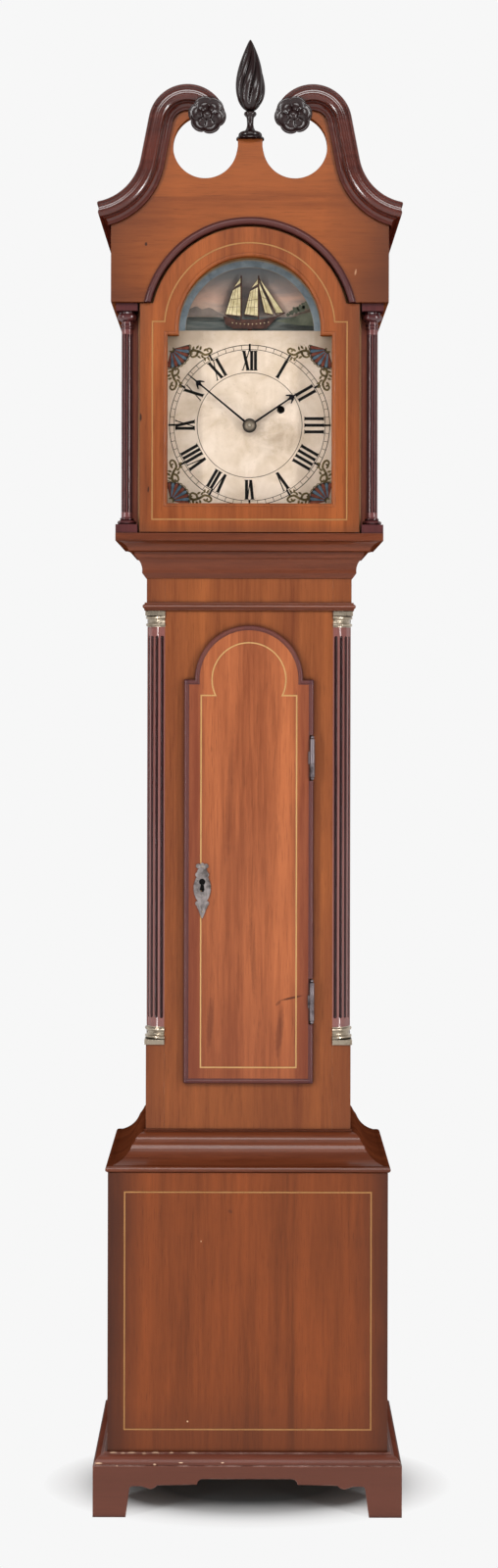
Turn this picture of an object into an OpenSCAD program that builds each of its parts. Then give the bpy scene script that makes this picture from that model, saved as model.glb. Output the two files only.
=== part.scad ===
// Grandmother clock: a small longcase clock with a swan-neck hood, a tombstone trunk door,
// a bracket plinth and a weight-driven timepiece movement with a rocking ship in the arch.
// Millimetres. X to the right, Y to the back, Z up, the floor at Z = 0.

/* [Plinth] */
// Height of the plain face of the bracket plinth
plinth_h = 58; // [52:1:66]
// How far the plinth stands out from the base box
plinth_reach = 15.5; // [12:0.5:18]
// Height of the rounded cap along the plinth's top
plinth_cap_h = 11.5; // [9:0.5:14]
// Width of a bracket foot at the floor
foot_w = 37; // [32:1:44]
// Height of the flat underside of the apron above the floor
apron_h = 43.3; // [38:0.1:44]

/* [Base] */
// Width of the base box
base_w = 318; // [306:2:340]
// Depth of the base box
base_d = 228; // [224:1:250]
// Height of the base panel between plinth and waist moulding
base_h = 316.1; // [240:0.1:400]
// Thickness of the case boards
board_t = 14; // [12:0.5:15]
// Thickness of the backboard
back_t = 10; // [8:0.5:12]
// Thickness of the base's floor board
floor_t = 12; // [9:0.5:15]
// Distance of the inlaid line from the edge of the base panel
base_line_inset = 18.3; // [12:0.1:30]

/* [Waist moulding] */
// Height of the moulding between base and trunk
waist_h = 42.2; // [38:0.1:50]
// How far the waist moulding overhangs the front of the base box
waist_overhang = 3; // [1:0.5:5]

/* [Trunk] */
// Width of the trunk
trunk_w = 236; // [230:1:240]
// Setback of the trunk's front behind the base's front
trunk_setback = 41.2; // [38:0.1:44]
// Height of the trunk's rail between the columns' caps and the seat moulding
top_rail_h = 37.9; // [30:0.1:45]
// Side of the square corner recess that holds a quarter column
corner = 21.1; // [18:0.1:22]
// Thickness of the trunk's front stiles and rails
frame_t = 14; // [12:0.5:15]
// Height of the lower corner block
corner_block_h = 97.3; // [80:0.1:120]
// Height of a column's brass base
brass_base_h = 20.3; // [16:0.1:24]
// Height of a column's brass capital
brass_cap_h = 18.4; // [15:0.1:22]
// Height of the wooden shaft of a quarter column
shaft_h = 461; // [430:1:462]
// Radius of a flute in a quarter column
flute_r = 2.1; // [1.5:0.1:2.4]
// Height of the astragal round the top of the trunk
astragal_h = 9; // [7:0.5:11]
// How far the astragal stands out
astragal_reach = 4.8; // [3.5:0.1:6]
// Height of the seat moulding under the hood
seat_h = 42.1; // [38:0.1:50]
// How far the seat moulding stands out at its top
seat_reach = 34.5; // [34:0.1:36]

/* [Trunk door] */
// Width of the trunk door across its lips
door_w = 148.8; // [140:0.2:150]
// Height of the door's bottom edge above the waist moulding
door_rise = 53.6; // [45:0.1:60]
// Height between the door's arch and the astragal
door_head = 17.3; // [14:0.1:24]
// Radius of the door's arched top
door_arch_r = 62.4; // [58:0.1:64]
// Thickness of the door's lip in front of the trunk
lip_t = 6.5; // [6:0.1:7]
// Overlap of the lip on the frame
lip_w = 3.4; // [3:0.1:3.5]
// Thickness of the door behind its lip
core_t = 8.5; // [7.5:0.5:9]
// Width of the half-round bead along the door's edge
bead_w = 5.6; // [4:0.1:6]
// Radius of a hinge barrel
hinge_r = 2.8; // [2.4:0.1:2.9]
// Length of a hinge barrel
hinge_len = 43.5; // [36:0.5:50]
// Height of the lower hinge's middle above the door's bottom edge
hinge_low = 94.4; // [70:0.2:120]
// Height of the upper hinge's middle above the door's bottom edge
hinge_high = 374.7; // [340:0.1:400]
// Distance of the keyhole from the door's middle
key_x = 53.3; // [50:0.1:55]
// Height of the keyhole above the door's bottom edge
key_rise = 232; // [200:1:300]
// Throw of the lock's bolt
bolt_throw = 6; // [4:0.5:7]

/* [Hood] */
// Thickness of the hood's base board
hood_board_t = 8; // [6:0.5:10]
// Height of a hood column between base board and frieze
hood_col_h = 262.2; // [258:0.2:280]
// Side of a hood column's square blocks
col_block = 25; // [22:0.5:25]
// Diameter of a hood column's shaft
col_d = 12.9; // [11:0.1:15]
// Thickness of the hood's side boards
hood_side_t = 10; // [8:0.5:11]
// Height of the frieze at the hood's sides
frieze_h = 88; // [84:1:100]
// Radius of the arched opening in the tympanum
tymp_r = 115.8; // [115:0.2:118]
// Depth of the arch's centre below the frieze
arch_drop = 26.7; // [25:0.1:28]
// Thickness of the tympanum
tymp_t = 12; // [10:0.5:13]

/* [Hood door] */
// Gap between the hood door and the column blocks
hood_gap = 2.5; // [1.8:0.1:3.2]
// Thickness of the hood door
hood_door_t = 15; // [13:0.5:15.5]
// Outer radius of the hood door's arch
hood_door_r = 113; // [112:0.2:114]
// How far the door laps over the dial's edge
dial_lap = 7.8; // [6:0.2:9]
// Thickness of the hood door's glass
glass_t = 2; // [1.6:0.1:3]

/* [Pediment] */
// Width of the swan-neck moulding
neck_w = 26.6; // [24:0.2:28]
// How far the swan-neck moulding stands out
neck_reach = 14.8; // [12:0.2:16]
// Radius of the lower bend of a swan neck
neck_low_r = 73.8; // [70:0.2:78]
// Radius of the upper bend of a swan neck
neck_top_r = 31.1; // [29:0.1:33]
// Length of the straight between the two bends
neck_straight = 50; // [46:0.5:54]
// Lean of the straight from upright
neck_lean = 11; // [9:0.5:13]
// Distance of the upper bend's centre from the middle
neck_x = 70.8; // [69:0.1:72]
// Height of the upper bend's centre above the frieze's lower edge
neck_rise = 199.7; // [197:0.1:203]
// Radius of a rosette
rosette_r = 21.7; // [19:0.1:23]
// How far a rosette's boss stands out in front of the base
rosette_out = 20; // [18:0.5:22]
// Height of the finial
finial_h = 114.2; // [100:0.1:120]
// Largest radius of the finial's flame
flame_r = 16.7; // [14:0.1:18]

/* [Dial] */
// Width of the dial plate
dial_w = 203; // [200:0.5:205]
// Height of the dial's centre above the hood's base board
dial_rise = 125.2; // [124:0.2:128]
// Radius of the dial's arch
dial_arch_r = 86; // [84:0.5:88]
// Radius of the window in the dial's arch
window_r = 74; // [68:0.5:76]
// Height of the arch's centre above the dial's centre
dial_arch_rise = 109; // [107:0.5:111]
// Thickness of the dial plate
dial_t = 1.5; // [1.2:0.1:2]
// Length of the minute hand from the centre to its tip
minute_len = 93; // [84:0.5:93]
// Length of the hour hand from the centre to its tip
hour_len = 70; // [60:0.5:74]

/* [Movement] */
// Width of the movement plates
plate_w = 150; // [146:1:156]
// Height of the movement plates below the dial's centre
plate_low = 62; // [61:0.5:66]
// Height of the movement plates above the dial's centre
plate_high = 80; // [78:0.5:84]
// Thickness of the movement plates
plate_t = 2.5; // [2:0.1:3]
// Gap between the two movement plates
plate_gap = 59.5; // [58:0.5:62]
// Radius of the barrel's drum
drum_r = 15; // [14:0.1:15]
// Diameter of the gut line
gut_d = 1.5; // [1.2:0.1:1.8]
// Radius of the escape wheel
escape_r = 17; // [16:0.1:17.2]
// Theoretical length of the pendulum, from its bend to the bob's middle
pendulum_len = 560; // [520:1:580]
// Radius of the pendulum's bob
bob_r = 45; // [38:0.5:48]
// Radius of the weight
weight_r = 30; // [26:0.5:32]
// Height of the weight's body
weight_h = 165; // [140:1:180]

/* [Fits] */
// Radial clearance of a pivot or shaft in its hole
fit = 0.05; // [0.02:0.01:0.08]
line_gap = 0.15; // [0.1:0.05:0.25]
// Gap between a door's edge and the frame round it
door_fit = 1; // [0.8:0.1:1.2]
// Side clearance between parts that pass each other
side_gap = 0.3; // [0.2:0.05:0.5]
// Width of the inlaid stringing
line_w = 1.6; // [1:0.1:2.2]

/* [Hidden] */
$fn = 48;
eps = 0.01;

WOOD = "#9c5a33";
DARK_WOOD = "#5f2a22";
PALE_WOOD = "#c9a36a";
PLAIN_WOOD = "#b08a5c";
BRASS = "#b59a55";
OLD_BRASS = "#8c8468";
STEEL = "#7d7f84";
BLUED = "#1d1f28";
SILVERED = "#cdbfa4";

// Fronts and backs along Y, with the whole clock centred on the origin
front_y = rosette_out - (base_d + rosette_out) / 2;
back_y = front_y + base_d;
trunk_y = front_y + trunk_setback;
inner_back_y = back_y - back_t;
hood_front_y = front_y + 6.8;
tymp_y = front_y + 2;
tymp_back_y = tymp_y + tymp_t;
hood_door_y = front_y + 6;
dial_y = front_y + 40;

// Heights
base_z = plinth_h + plinth_cap_h;
waist_z = base_z + base_h;
trunk_z = waist_z + waist_h;
seat_z = trunk_z + corner_block_h + brass_base_h + shaft_h + brass_cap_h + top_rail_h;
hood_z = seat_z + seat_h;
hood_floor_z = hood_z + hood_board_t;
frieze_z = hood_floor_z + hood_col_h;
arch_z = frieze_z - arch_drop;
roof_z = arch_z + tymp_r + 4;
box_low_z = apron_h + 1.7;
post_low_z = waist_z - 25.6;

// Half widths
base_hw = base_w / 2;
base_in = base_hw - board_t;
trunk_hw = trunk_w / 2;
trunk_in = trunk_hw - board_t;
corner_x = trunk_hw - corner;
hood_hw = trunk_hw + seat_reach;
col_x = hood_hw - col_block / 2;
col_in = col_x - col_block / 2;
hood_out = col_x + 6;
hood_in = hood_out - hood_side_t;
tymp_hw = hood_hw + 5.4;
plinth_hw = base_hw + plinth_reach;

// Quarter columns
col_base_z = trunk_z + corner_block_h;
shaft_z = col_base_z + brass_base_h;
col_cap_z = shaft_z + shaft_h;
col_top_z = col_cap_z + brass_cap_h;
astragal_z = col_top_z + 0.8;

// Trunk door
door_hw = door_w / 2;
door_z = trunk_z + door_rise;
shoulder_z = astragal_z - door_head - door_arch_r;
lip_back_y = trunk_y - side_gap;
lip_y = lip_back_y - lip_t;
bead_y = lip_y - 1.2;
open_hw = door_hw - lip_w;
open_r = door_arch_r - lip_w;
core_hw = open_hw - door_fit;
core_r = open_r - door_fit;
core_back_y = lip_back_y + side_gap + core_t;
door_line_r = door_arch_r - 19.1;
door_line_hw = door_hw - 18.7;
door_line_drop = 17.5;
key_z = door_z + key_rise;
hinge_x = door_hw - 1.4;
hinge_y = bead_y;
pin_r = 1.1;
leaf_t = 1.5;
escutcheon_t = 1;
bolt_h = 12;
bolt_t = 4;
lock_t = 9;

// Hood door and its opening
hood_door_hw = col_in - hood_gap;
hood_door_z = hood_floor_z + door_fit;
hood_open_hw = dial_w / 2 - dial_lap;
hood_open_r = dial_arch_r - 5;
dial_z = hood_floor_z + dial_rise;
dial_arch_z = dial_z + dial_arch_rise;
dial_low_z = dial_z - dial_w / 2;
hood_open_z = dial_low_z + 10.1;
hood_open_shoulder_z = dial_arch_z - 8.7;
rebate = 4;
glass_y = hood_door_y + 10.5;
pivot_x = hood_door_hw - 3;
pivot_y = hood_door_y + 3;
pivot_r = 1.2;
pivot_len = 5;
mask_hw = dial_w / 2 - 2.5;
mask_r = dial_arch_r - 3;
mask_y = hood_door_y + hood_door_t + 2;
mask_back_y = dial_y - 2;

// Swan necks, worked out from the upper bend down to the side
neck_z = frieze_z + neck_rise;
neck_hw = neck_w / 2;
neck_top = [-neck_x, neck_z];
neck_up = [sin(neck_lean), cos(neck_lean)];
neck_out = [-cos(neck_lean), sin(neck_lean)];
neck_turn = neck_top + neck_top_r * neck_out;
neck_bend = neck_turn - neck_straight * neck_up;
neck_low = neck_bend + neck_low_r * neck_out;
side_z = frieze_z + frieze_h;
scroll_x = 51.1;
scroll_r = 36.5;
scroll_z = frieze_z + 177;
rosette_x = neck_x - 22.2;
rosette_z = neck_z + 8.3;
rosette_y = tymp_y - neck_reach;
plinth_top_z = frieze_z + 185.4;
finial_y = tymp_y + tymp_t / 2;

// Layers of the movement along Y
hand_y = dial_y - 8.6;
dial_back_y = dial_y + dial_t;
front_plate_y = dial_back_y + 14.5;
plates_in_y = front_plate_y + plate_t;
back_plate_y = plates_in_y + plate_gap;
plates_back_y = back_plate_y + plate_t;
hour_wheel_y = dial_back_y + 5.5;
minute_wheel_y = dial_back_y + 11;
great_y = plates_in_y + 3;
ratchet_y = great_y + 4.7;
drum_y = ratchet_y + 4.8;
drum_len = 40;
line_y = drum_y + drum_len / 2;
third_y = plates_in_y + 25.5;
escape_y = plates_in_y + 47.5;
centre_y = plates_in_y + 56;
cock_y = plates_back_y + 7.5;
crutch_y = plates_back_y + 2;
pendulum_y = plates_back_y + 27.5;

// Going train: teeth, modules and arbor positions from the dial's centre
great_teeth = 96;
centre_teeth = 80;
third_teeth = 64;
escape_teeth = 30;
leaves = 8;
great_m = 0.783;
centre_m = 0.6;
third_m = 0.55;
cannon_teeth = 12;
minute_teeth = 36;
minute_leaves = 10;
hour_teeth = 40;
cannon_m = 0.625;
hour_m = 0.6;
great_cd = (great_teeth + leaves) * great_m / 2;
centre_cd = (centre_teeth + leaves) * centre_m / 2;
third_cd = (third_teeth + leaves) * third_m / 2;
motion_cd = (cannon_teeth + minute_teeth) * cannon_m / 2;
great_angle = 28;
escape_up = 43;
third_up = (centre_cd ^ 2 - third_cd ^ 2 + escape_up ^ 2) / (2 * escape_up);
third_side = sqrt(centre_cd ^ 2 - third_up ^ 2);
CENTRE = [0, dial_z];
GREAT = CENTRE + great_cd * [cos(great_angle), sin(great_angle)];
THIRD = CENTRE + [-third_side, third_up];
ESCAPE = CENTRE + [0, escape_up];
PALLET = ESCAPE + [0, escape_r + 7];
STUD = CENTRE + motion_cd * [cos(225), sin(225)];
minute_angle = 309.6;
hour_angle = 55.8;

// Arbors and pivots
arbor_r = 1.5;
pivot = 0.8;
pipe_r = 2.4;
hour_pipe_r = 3.6;
barrel_arbor_r = 3.2;
end_shake = 0.2;

// Weight, pulley and line
seatboard_t = 14;
seatboard_z = dial_z - plate_low;
cheek_top_z = seatboard_z - seatboard_t;
groove_r = 15.85;
pulley_r = groove_r + 2.65;
pulley_t = 7;
strand_r = groove_r + gut_d / 2 + line_gap;
line_x = GREAT[0] - drum_r - gut_d / 2;
pulley_x = line_x + strand_r;
pulley_z = cheek_top_z - pulley_r - 31.5;
weight_top_z = pulley_z - pulley_r - 37;
weight_z = weight_top_z - weight_h;
bob_z = PALLET[1] - pendulum_len;
bob_t = 22;
rod_r = 2.5;
nut_h = 6;

// Two copies of the children, the second mirrored left to right
module pair() {
    children();
    mirror([1, 0, 0]) children();
}

// A box given by its lowest and highest value along each axis
module block(x, y, z) {
    translate([x[0], y[0], z[0]]) cube([x[1] - x[0], y[1] - y[0], z[1] - z[0]]);
}

// Stands a flat outline up in the XZ plane, from y0 back to y1
module upright(y0, y1) {
    translate([0, y1, 0]) rotate([90, 0, 0]) linear_extrude(y1 - y0) children();
}

// A round bar along Y through the point p of the XZ plane
module bar(p, r, y0, y1) {
    translate([p[0], y1, p[1]]) rotate([90, 0, 0]) cylinder(r = r, h = y1 - y0);
}

// Turns a profile of radius and depth about the Y axis through p, with depth counted from y back
module turned(p, y) {
    translate([p[0], y, p[1]]) rotate([-90, 0, 0]) rotate_extrude() children();
}

// Points on an arc about c, from angle a0 to a1
function arc(c, r, a0, a1, n = 6) =
    [for (i = [0:n]) let (a = a0 + (a1 - a0) * i / n) c + r * [cos(a), sin(a)]];

// The same points in the opposite order
function backwards(points) = [for (i = [len(points) - 1:-1:0]) points[i]];

// The same points raised by z
function raised(points, z) = [for (q = points) q + [0, z]];

// Points on a curve from a to b that bows out by a share of its length
function bow(a, b, share, n = 6) = let (d = b - a)
    [for (i = [0:n]) let (t = i / n) a + d * t + [-d[1], d[0]] * share * 4 * t * (1 - t)];

// Arched outline: a rectangle up to the shoulders with a round head
module tombstone(hw, z0, z1, r, zc) {
    translate([-hw, z0]) square([2 * hw, z1 - z0]);
    translate([0, zc]) circle(r);
}

// Runs a moulding's profile across the front and back along both sides, mitred at the corners.
// The profile gives the reach from the face as x and the height as y.
module surround(hw, y, y_end, front, side) {
    reach = max([for (q = concat(front, side)) q[0]]);
    z = [min([for (q = front) q[1]]), max([for (q = front) q[1]])];
    difference() {
        intersection() {
            translate([-hw - reach - 1, 0, 0]) rotate([90, 0, 90])
                linear_extrude(2 * (hw + reach + 1)) polygon(concat(
                    [for (q = front) [y - q[0], q[1]]], [[y_end, z[0]], [y_end, z[1]]]));
            translate([0, y_end + 1, 0]) rotate([90, 0, 0])
                linear_extrude(y_end - y + reach + 2) polygon(concat(
                    [for (q = side) [-hw - q[0], q[1]]],
                    [for (q = backwards(side)) [hw + q[0], q[1]]]));
        }
        block([-hw, hw], [y, y_end + 1], [z[0] - 1, z[1] + 1]);
    }
}

// The lower edge of an apron between two bracket feet whose inner edges stand at x = +-foot
function apron_half(foot, step) = concat(
    [[foot, -1], [foot - 1.8, 12.6], [foot - 4.3, 31.1]],
    arc([foot - 8.2, 31.1], 3.9, 0, 100, 4),
    [[foot - 18.5, 34.9], [foot - 23, 33.2], [foot - 27.8, 31.9]],
    arc([foot - 27.8, 41.5], 9.6, -90, -145, 4),
    [[step, apron_h - 6.3]],
    arc([step - 6.4, apron_h - 6.3], 6.3, 0, 90, 3));

module apron(foot, step) {
    half = apron_half(foot, step);
    last = len(half) - 1;
    polygon(concat(half, [for (i = [last:-1:0]) [-half[i][0], half[i][1]]]));
}

// Half-round section of a bead as pairs of depth behind the crest and distance across
function bead_section(r, d) = concat([[d, -r], [d, r]],
    [for (i = [0:12]) let (a = 90 + 15 * i) [r + r * cos(a), r * sin(a)]]);

// Bead round an arched outline, mitred at its corners. The crest stands at y, the back at y1,
// and hw, z0, z1 and ar are the half width, the heights and the arch radius of its middle line.
module bead_frame(hw, z0, z1, ar, zc, r, y, y1) {
    section = bead_section(r, y1 - y);
    outer = sqrt((ar + r) ^ 2 - (zc - z1 - r) ^ 2);
    inner = sqrt((ar - r) ^ 2 - (zc - z1 + r) ^ 2);
    lean = outer - inner;
    start = -asin((zc - z1 + r) / (ar - r)) - 3;
    lap = 0.2;
    intersection() {
        translate([-hw - 2 * r, y, z0]) rotate([90, 0, 90])
            linear_extrude(2 * hw + 4 * r) polygon(section);
        upright(y - 1, y1 + 1) polygon([[-hw - 2 * r, z0 - 2 * r], [hw + 2 * r, z0 - 2 * r],
            [hw - 2 * r, z0 + 2 * r], [-hw + 2 * r, z0 + 2 * r]]);
    }
    pair() {
        intersection() {
            translate([hw, y, z0 - 2 * r]) linear_extrude(z1 - z0 + 4 * r)
                polygon([for (q = backwards(section)) [q[1], q[0]]]);
            upright(y - 1, y1 + 1) polygon([[hw - 2 * r, z0 + 2 * r], [hw + 2 * r, z0 - 2 * r],
                [hw + 2 * r, z1 + 2 * r], [hw - 2 * r, z1 - 2 * r]]);
        }
        intersection() {
            translate([inner - 4 * r, y, z1]) rotate([90, 0, 90])
                linear_extrude(hw - inner + 8 * r) polygon(section);
            upright(y - 1, y1 + 1) polygon([[inner - lean / 2, z1 - 2 * r],
                [hw - 2 * r, z1 - 2 * r], [hw + 2 * r, z1 + 2 * r],
                [outer + lean / 2, z1 + 2 * r]]);
        }
    }
    intersection() {
        bead_ring([0, zc], ar, r, y, y1, start, 180 - start);
        upright(y - 1, y1 + 1) polygon([[inner - 2 * lean + lap, z1 - 5 * r],
            [outer + 2 * lean + lap, z1 + 5 * r], [outer + 2 * lean + lap, zc + 2 * ar],
            [-outer - 2 * lean - lap, zc + 2 * ar], [-outer - 2 * lean - lap, z1 + 5 * r],
            [-inner + 2 * lean - lap, z1 - 5 * r]]);
    }
}

// Half-round ring sector about c, from angle a0 to a1
module bead_ring(c, radius, r, y, y1, a0, a1) {
    translate([c[0], y, c[1]]) rotate([90, 0, 0]) rotate([0, 0, a0])
        rotate_extrude(angle = a1 - a0, $fn = 96)
            polygon([for (q = bead_section(r, y1 - y)) [radius - q[1], -q[0]]]);
}

// One tooth of a wheel as pairs of radius and angle, with backlash in its thickness
function wheel_tooth(n, m) = let (r = n * m / 2, a = 90 / n * 0.84)
    [[r - 1.35 * m, -a], [r, -a], [r + 0.5 * m, -0.62 * a], [r + 0.85 * m, 0],
     [r + 0.5 * m, 0.62 * a], [r, a], [r - 1.35 * m, a]];

// One leaf of a pinion as pairs of radius and angle
function pinion_leaf(n, m) = let (r = n * m / 2, a = 90 / n * 0.66)
    [[r - 1.2 * m, -a], [r, -a], [r + 0.35 * m, -0.7 * a], [r + 0.5 * m, 0],
     [r + 0.35 * m, 0.7 * a], [r, a], [r - 1.2 * m, a]];

// One pointed tooth of the recoil escape wheel
function escape_tooth(n, r) = let (a = 360 / n)
    [[r * 0.78, -a * 0.42], [r * 0.995, -a * 0.06], [r, a * 0.02], [r * 0.9, a * 0.16],
     [r * 0.78, a * 0.5]];

// Repeats a tooth n times round the centre, the first tooth at angle turn
module toothed(n, tooth, turn = 0) {
    polygon([for (i = [0:n - 1]) for (q = tooth)
        q[0] * [cos(i * 360 / n + turn + q[1]), sin(i * 360 / n + turn + q[1])]]);
}

// Openings that leave a rim, a hub and arms between them
module crossings(rim_r, hub_r, arms, arm_w) {
    difference() {
        circle(rim_r);
        circle(hub_r);
        for (i = [0:arms - 1])
            rotate(i * 360 / arms + 45) translate([0, -arm_w / 2]) square([rim_r + 1, arm_w]);
    }
}

// A crossed-out wheel at p in the layer that starts at y
module wheel(p, y, t, n, m, turn, hub_r, bore, arms = 4) {
    upright(y, y + t) translate(p) difference() {
        toothed(n, wheel_tooth(n, m), turn);
        crossings(n * m / 2 - 3.2 * m - 1, hub_r, arms, 3);
        circle(bore);
    }
}

// A pinion at p from y0 to y1
module pinion(p, y0, y1, n, m, turn) {
    upright(y0, y1) translate(p) toothed(n, pinion_leaf(n, m), turn);
}

// Angle of the line from p to q
function heading(p, q) = atan2(q[1] - p[1], q[0] - p[0]);

module bracket_plinth() {
    profile = backwards(concat([[0, 0], [plinth_reach, 0], [plinth_reach, plinth_h]],
        arc([plinth_reach - plinth_cap_h, plinth_h], plinth_cap_h - 1.5, 0, 90, 5),
        [[plinth_reach - plinth_cap_h, base_z], [0, base_z]]));
    color(DARK_WOOD) difference() {
        surround(base_hw, front_y, back_y, profile, profile);
        upright(front_y - plinth_reach - 1, front_y + 1)
            apron(plinth_hw - foot_w, 56.9);
        translate([0, (front_y - plinth_reach + back_y) / 2, 0]) rotate([90, 0, 90])
            translate([0, 0, -plinth_hw - 1]) linear_extrude(2 * plinth_hw + 2)
                apron((base_d + plinth_reach) / 2 - foot_w, 36);
    }
}

module glue_blocks() {
    foot_block = foot_w - plinth_reach - 1.5;
    color(PLAIN_WOOD) {
        pair() for (y = [front_y, back_y - foot_block])
            block([base_hw - foot_block, base_hw], [y, y + foot_block], [0, box_low_z]);
        pair() block([trunk_hw, base_in], [front_y + board_t, inner_back_y], [post_low_z, waist_z]);
        block([-trunk_hw, trunk_hw], [front_y + board_t, trunk_y], [post_low_z, waist_z]);
    }
}

// Outline of the base's inlaid line, the width w inside its outer edge
module base_line(w) {
    hw = base_hw - base_line_inset - w;
    z0 = base_z + 24.1 + w;
    z1 = waist_z - 21.1 - w;
    translate([-hw, z0]) square([2 * hw, z1 - z0]);
}

module base_front() {
    color(WOOD) difference() {
        block([-base_hw, base_hw], [front_y, front_y + board_t], [box_low_z, waist_z]);
        upright(front_y - 1, front_y + 0.8) difference() {
            base_line(0);
            base_line(line_w);
        }
    }
}

module base_stringing() {
    color(PALE_WOOD) upright(front_y - 0.1, front_y + 0.8) difference() {
        base_line(0);
        base_line(line_w);
    }
}

module base_sides() {
    color(WOOD)
        pair() block([base_in, base_hw], [front_y + board_t, back_y], [box_low_z, waist_z]);
}

module base_floor() {
    color(PLAIN_WOOD)
        block([-base_in, base_in], [front_y + board_t, inner_back_y], [base_z, base_z + floor_t]);
}

// Waist moulding: a fillet, a small ovolo, a broad cove and a bead over the base
module waist_moulding() {
    color(DARK_WOOD) surround(trunk_hw, trunk_y, back_y,
        raised(waist_profile(trunk_setback + waist_overhang), waist_z),
        raised(waist_profile(base_hw - trunk_hw + waist_overhang), waist_z));
}

function waist_profile(r) = concat(
    [[0, waist_h], [2, waist_h], [1.2, waist_h - 2.4]],
    arc([1.2, waist_h - 12.9], 10, 70, 18, 5),
    [[12.6, waist_h - 12.9]],
    bow([14.9, waist_h - 15.9], [r - 8, 7.2], -0.13, 8),
    arc([r - 3.2, 4], 3.2, 90, -60, 6),
    [[r - 4, 0], [0, 0]]);

// Stiles and rails of the trunk's front; the bolt shoots into a notch behind the left stile's edge
module trunk_frame() {
    rail_hw = open_hw - fit;
    y1 = trunk_y + frame_t;
    color(WOOD) {
        difference() {
            pair() block([open_hw, corner_x], [trunk_y, y1], [post_low_z, hood_z]);
            for (z = [hinge_low, hinge_high])
                hinge_mortise(door_z + z, open_hw, open_hw + leaf_t, trunk_y, y1 - 2);
            block([-open_hw - bolt_throw - 1, -open_hw + 1], [bolt_y() - 0.5, y1 + 1],
                [key_z - bolt_h / 2 - 0.5, key_z + bolt_h / 2 + 0.5]);
        }
        block([-rail_hw, rail_hw], [trunk_y, y1], [post_low_z, door_z + lip_w]);
        difference() {
            block([-rail_hw, rail_hw], [trunk_y, y1], [shoulder_z - lip_w, hood_z]);
            bar([0, shoulder_z], open_r, trunk_y - 1, y1 + 1);
        }
    }
}

module trunk_corner_blocks() {
    color(WOOD) pair() {
        block([corner_x, trunk_hw], [trunk_y, trunk_y + corner], [post_low_z, col_base_z]);
        block([corner_x, trunk_hw], [trunk_y, trunk_y + corner], [col_top_z, hood_z]);
    }
}

module trunk_sides() {
    color(WOOD) pair()
        block([trunk_in, trunk_hw], [trunk_y + corner, inner_back_y], [post_low_z, cheek_top_z]);
}

// Quarter columns: reeded between flutes, seated in the trunk's corners
module quarter_columns() {
    color(DARK_WOOD) pair() translate([corner_x, trunk_y + corner, shaft_z]) difference() {
        rotate([0, 0, -90]) rotate_extrude(angle = 90, $fn = 96) square([corner, shaft_h]);
        for (i = [0:4])
            rotate([0, 0, -81 + i * 18]) translate([corner + 0.4, 0, 12]) {
                cylinder(r = flute_r, h = shaft_h - 24, $fn = 24);
                sphere(r = flute_r, $fn = 24);
                translate([0, 0, shaft_h - 24]) sphere(r = flute_r, $fn = 24);
            }
    }
}

// Brass capital and base of a quarter column, turned in the quarter and squared at the outer end
module column_brass(h) {
    r = corner;
    rotate([0, 0, -90]) rotate_extrude(angle = 90, $fn = 96)
        polygon(concat([[0, 0], [r, 0]],
            arc([r, h * 0.16], h * 0.1, -90, 90, 4),
            arc([r + 1.8, h * 0.4], h * 0.14, 180, 90, 4),
            [[r + 2, h * 0.62]],
            arc([r, h * 0.62], 2, 0, 90, 3),
            [[r, h * 0.72], [0, h * 0.72]]));
    translate([0, -r - 1.6, h * 0.72]) cube([r + 1.6, r + 1.6, h * 0.28]);
}

module column_brasses() {
    color(OLD_BRASS) pair() translate([corner_x, trunk_y + corner, 0]) {
        translate([0, 0, col_cap_z]) column_brass(brass_cap_h);
        translate([0, 0, shaft_z]) mirror([0, 0, 1]) column_brass(brass_base_h);
    }
}

module trunk_astragal() {
    r = astragal_reach;
    profile = raised(backwards(concat([[0, 0], [r - 2, 0], [r - 2, 1.5]],
        arc([r - 2.6, astragal_h / 2], 2.6, -80, 80, 6),
        [[r - 2.4, astragal_h - 1.4], [r - 2.6, astragal_h], [0, astragal_h]])), astragal_z);
    color(DARK_WOOD) surround(trunk_hw, trunk_y, back_y, profile, profile);
}

// Seat moulding: a bead, a cove, two fillets and a broad cyma that carry the hood
module seat_moulding() {
    r = seat_reach;
    h = seat_h;
    profile = raised(backwards(concat(
        [[0, 0], [1.1, 0], [5.3, 5.8]],
        arc([24, 8.9], 18.9, 178, 130, 5),
        [[13.4, h - 15.8], [13.8, h - 12.4], [r - 15.1, h - 11.4]],
        arc([r - 0.7, h - 15.1], 14.3, 165, 100, 6),
        [[r - 3.2, h - 0.8], [r, h - 0.8], [r, h], [0, h]])), seat_z);
    color(DARK_WOOD) surround(trunk_hw, trunk_y, back_y, profile, profile);
}

// One backboard for base, trunk and hood
module backboard() {
    hood_back = hood_in - 1;
    z = [box_low_z, waist_z, hood_floor_z + 1, roof_z - 1];
    half = [[base_in, z[0]], [base_in, z[1]], [trunk_hw, z[1]], [trunk_hw, z[2]],
        [hood_back, z[2]], [hood_back, z[3]]];
    color(PLAIN_WOOD) upright(inner_back_y, back_y)
        polygon(concat(half, [for (i = [5:-1:0]) [-half[i][0], half[i][1]]]));
}

module seatboard() {
    color(PLAIN_WOOD) difference() {
        block([-trunk_hw, trunk_hw], [dial_back_y + 4.5, plates_back_y + 13.5],
            [cheek_top_z, seatboard_z]);
        translate([line_x, line_y, cheek_top_z - 1]) cylinder(r = 4, h = seatboard_t + 2);
        translate([line_x + 2 * strand_r, line_y, cheek_top_z - 1])
            cylinder(r = gut_d / 2 + 0.2, h = seatboard_t + 2);
    }
}

// Position of the lock's bolt behind the door's face
function bolt_y() = core_back_y - bolt_t - 1;

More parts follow.
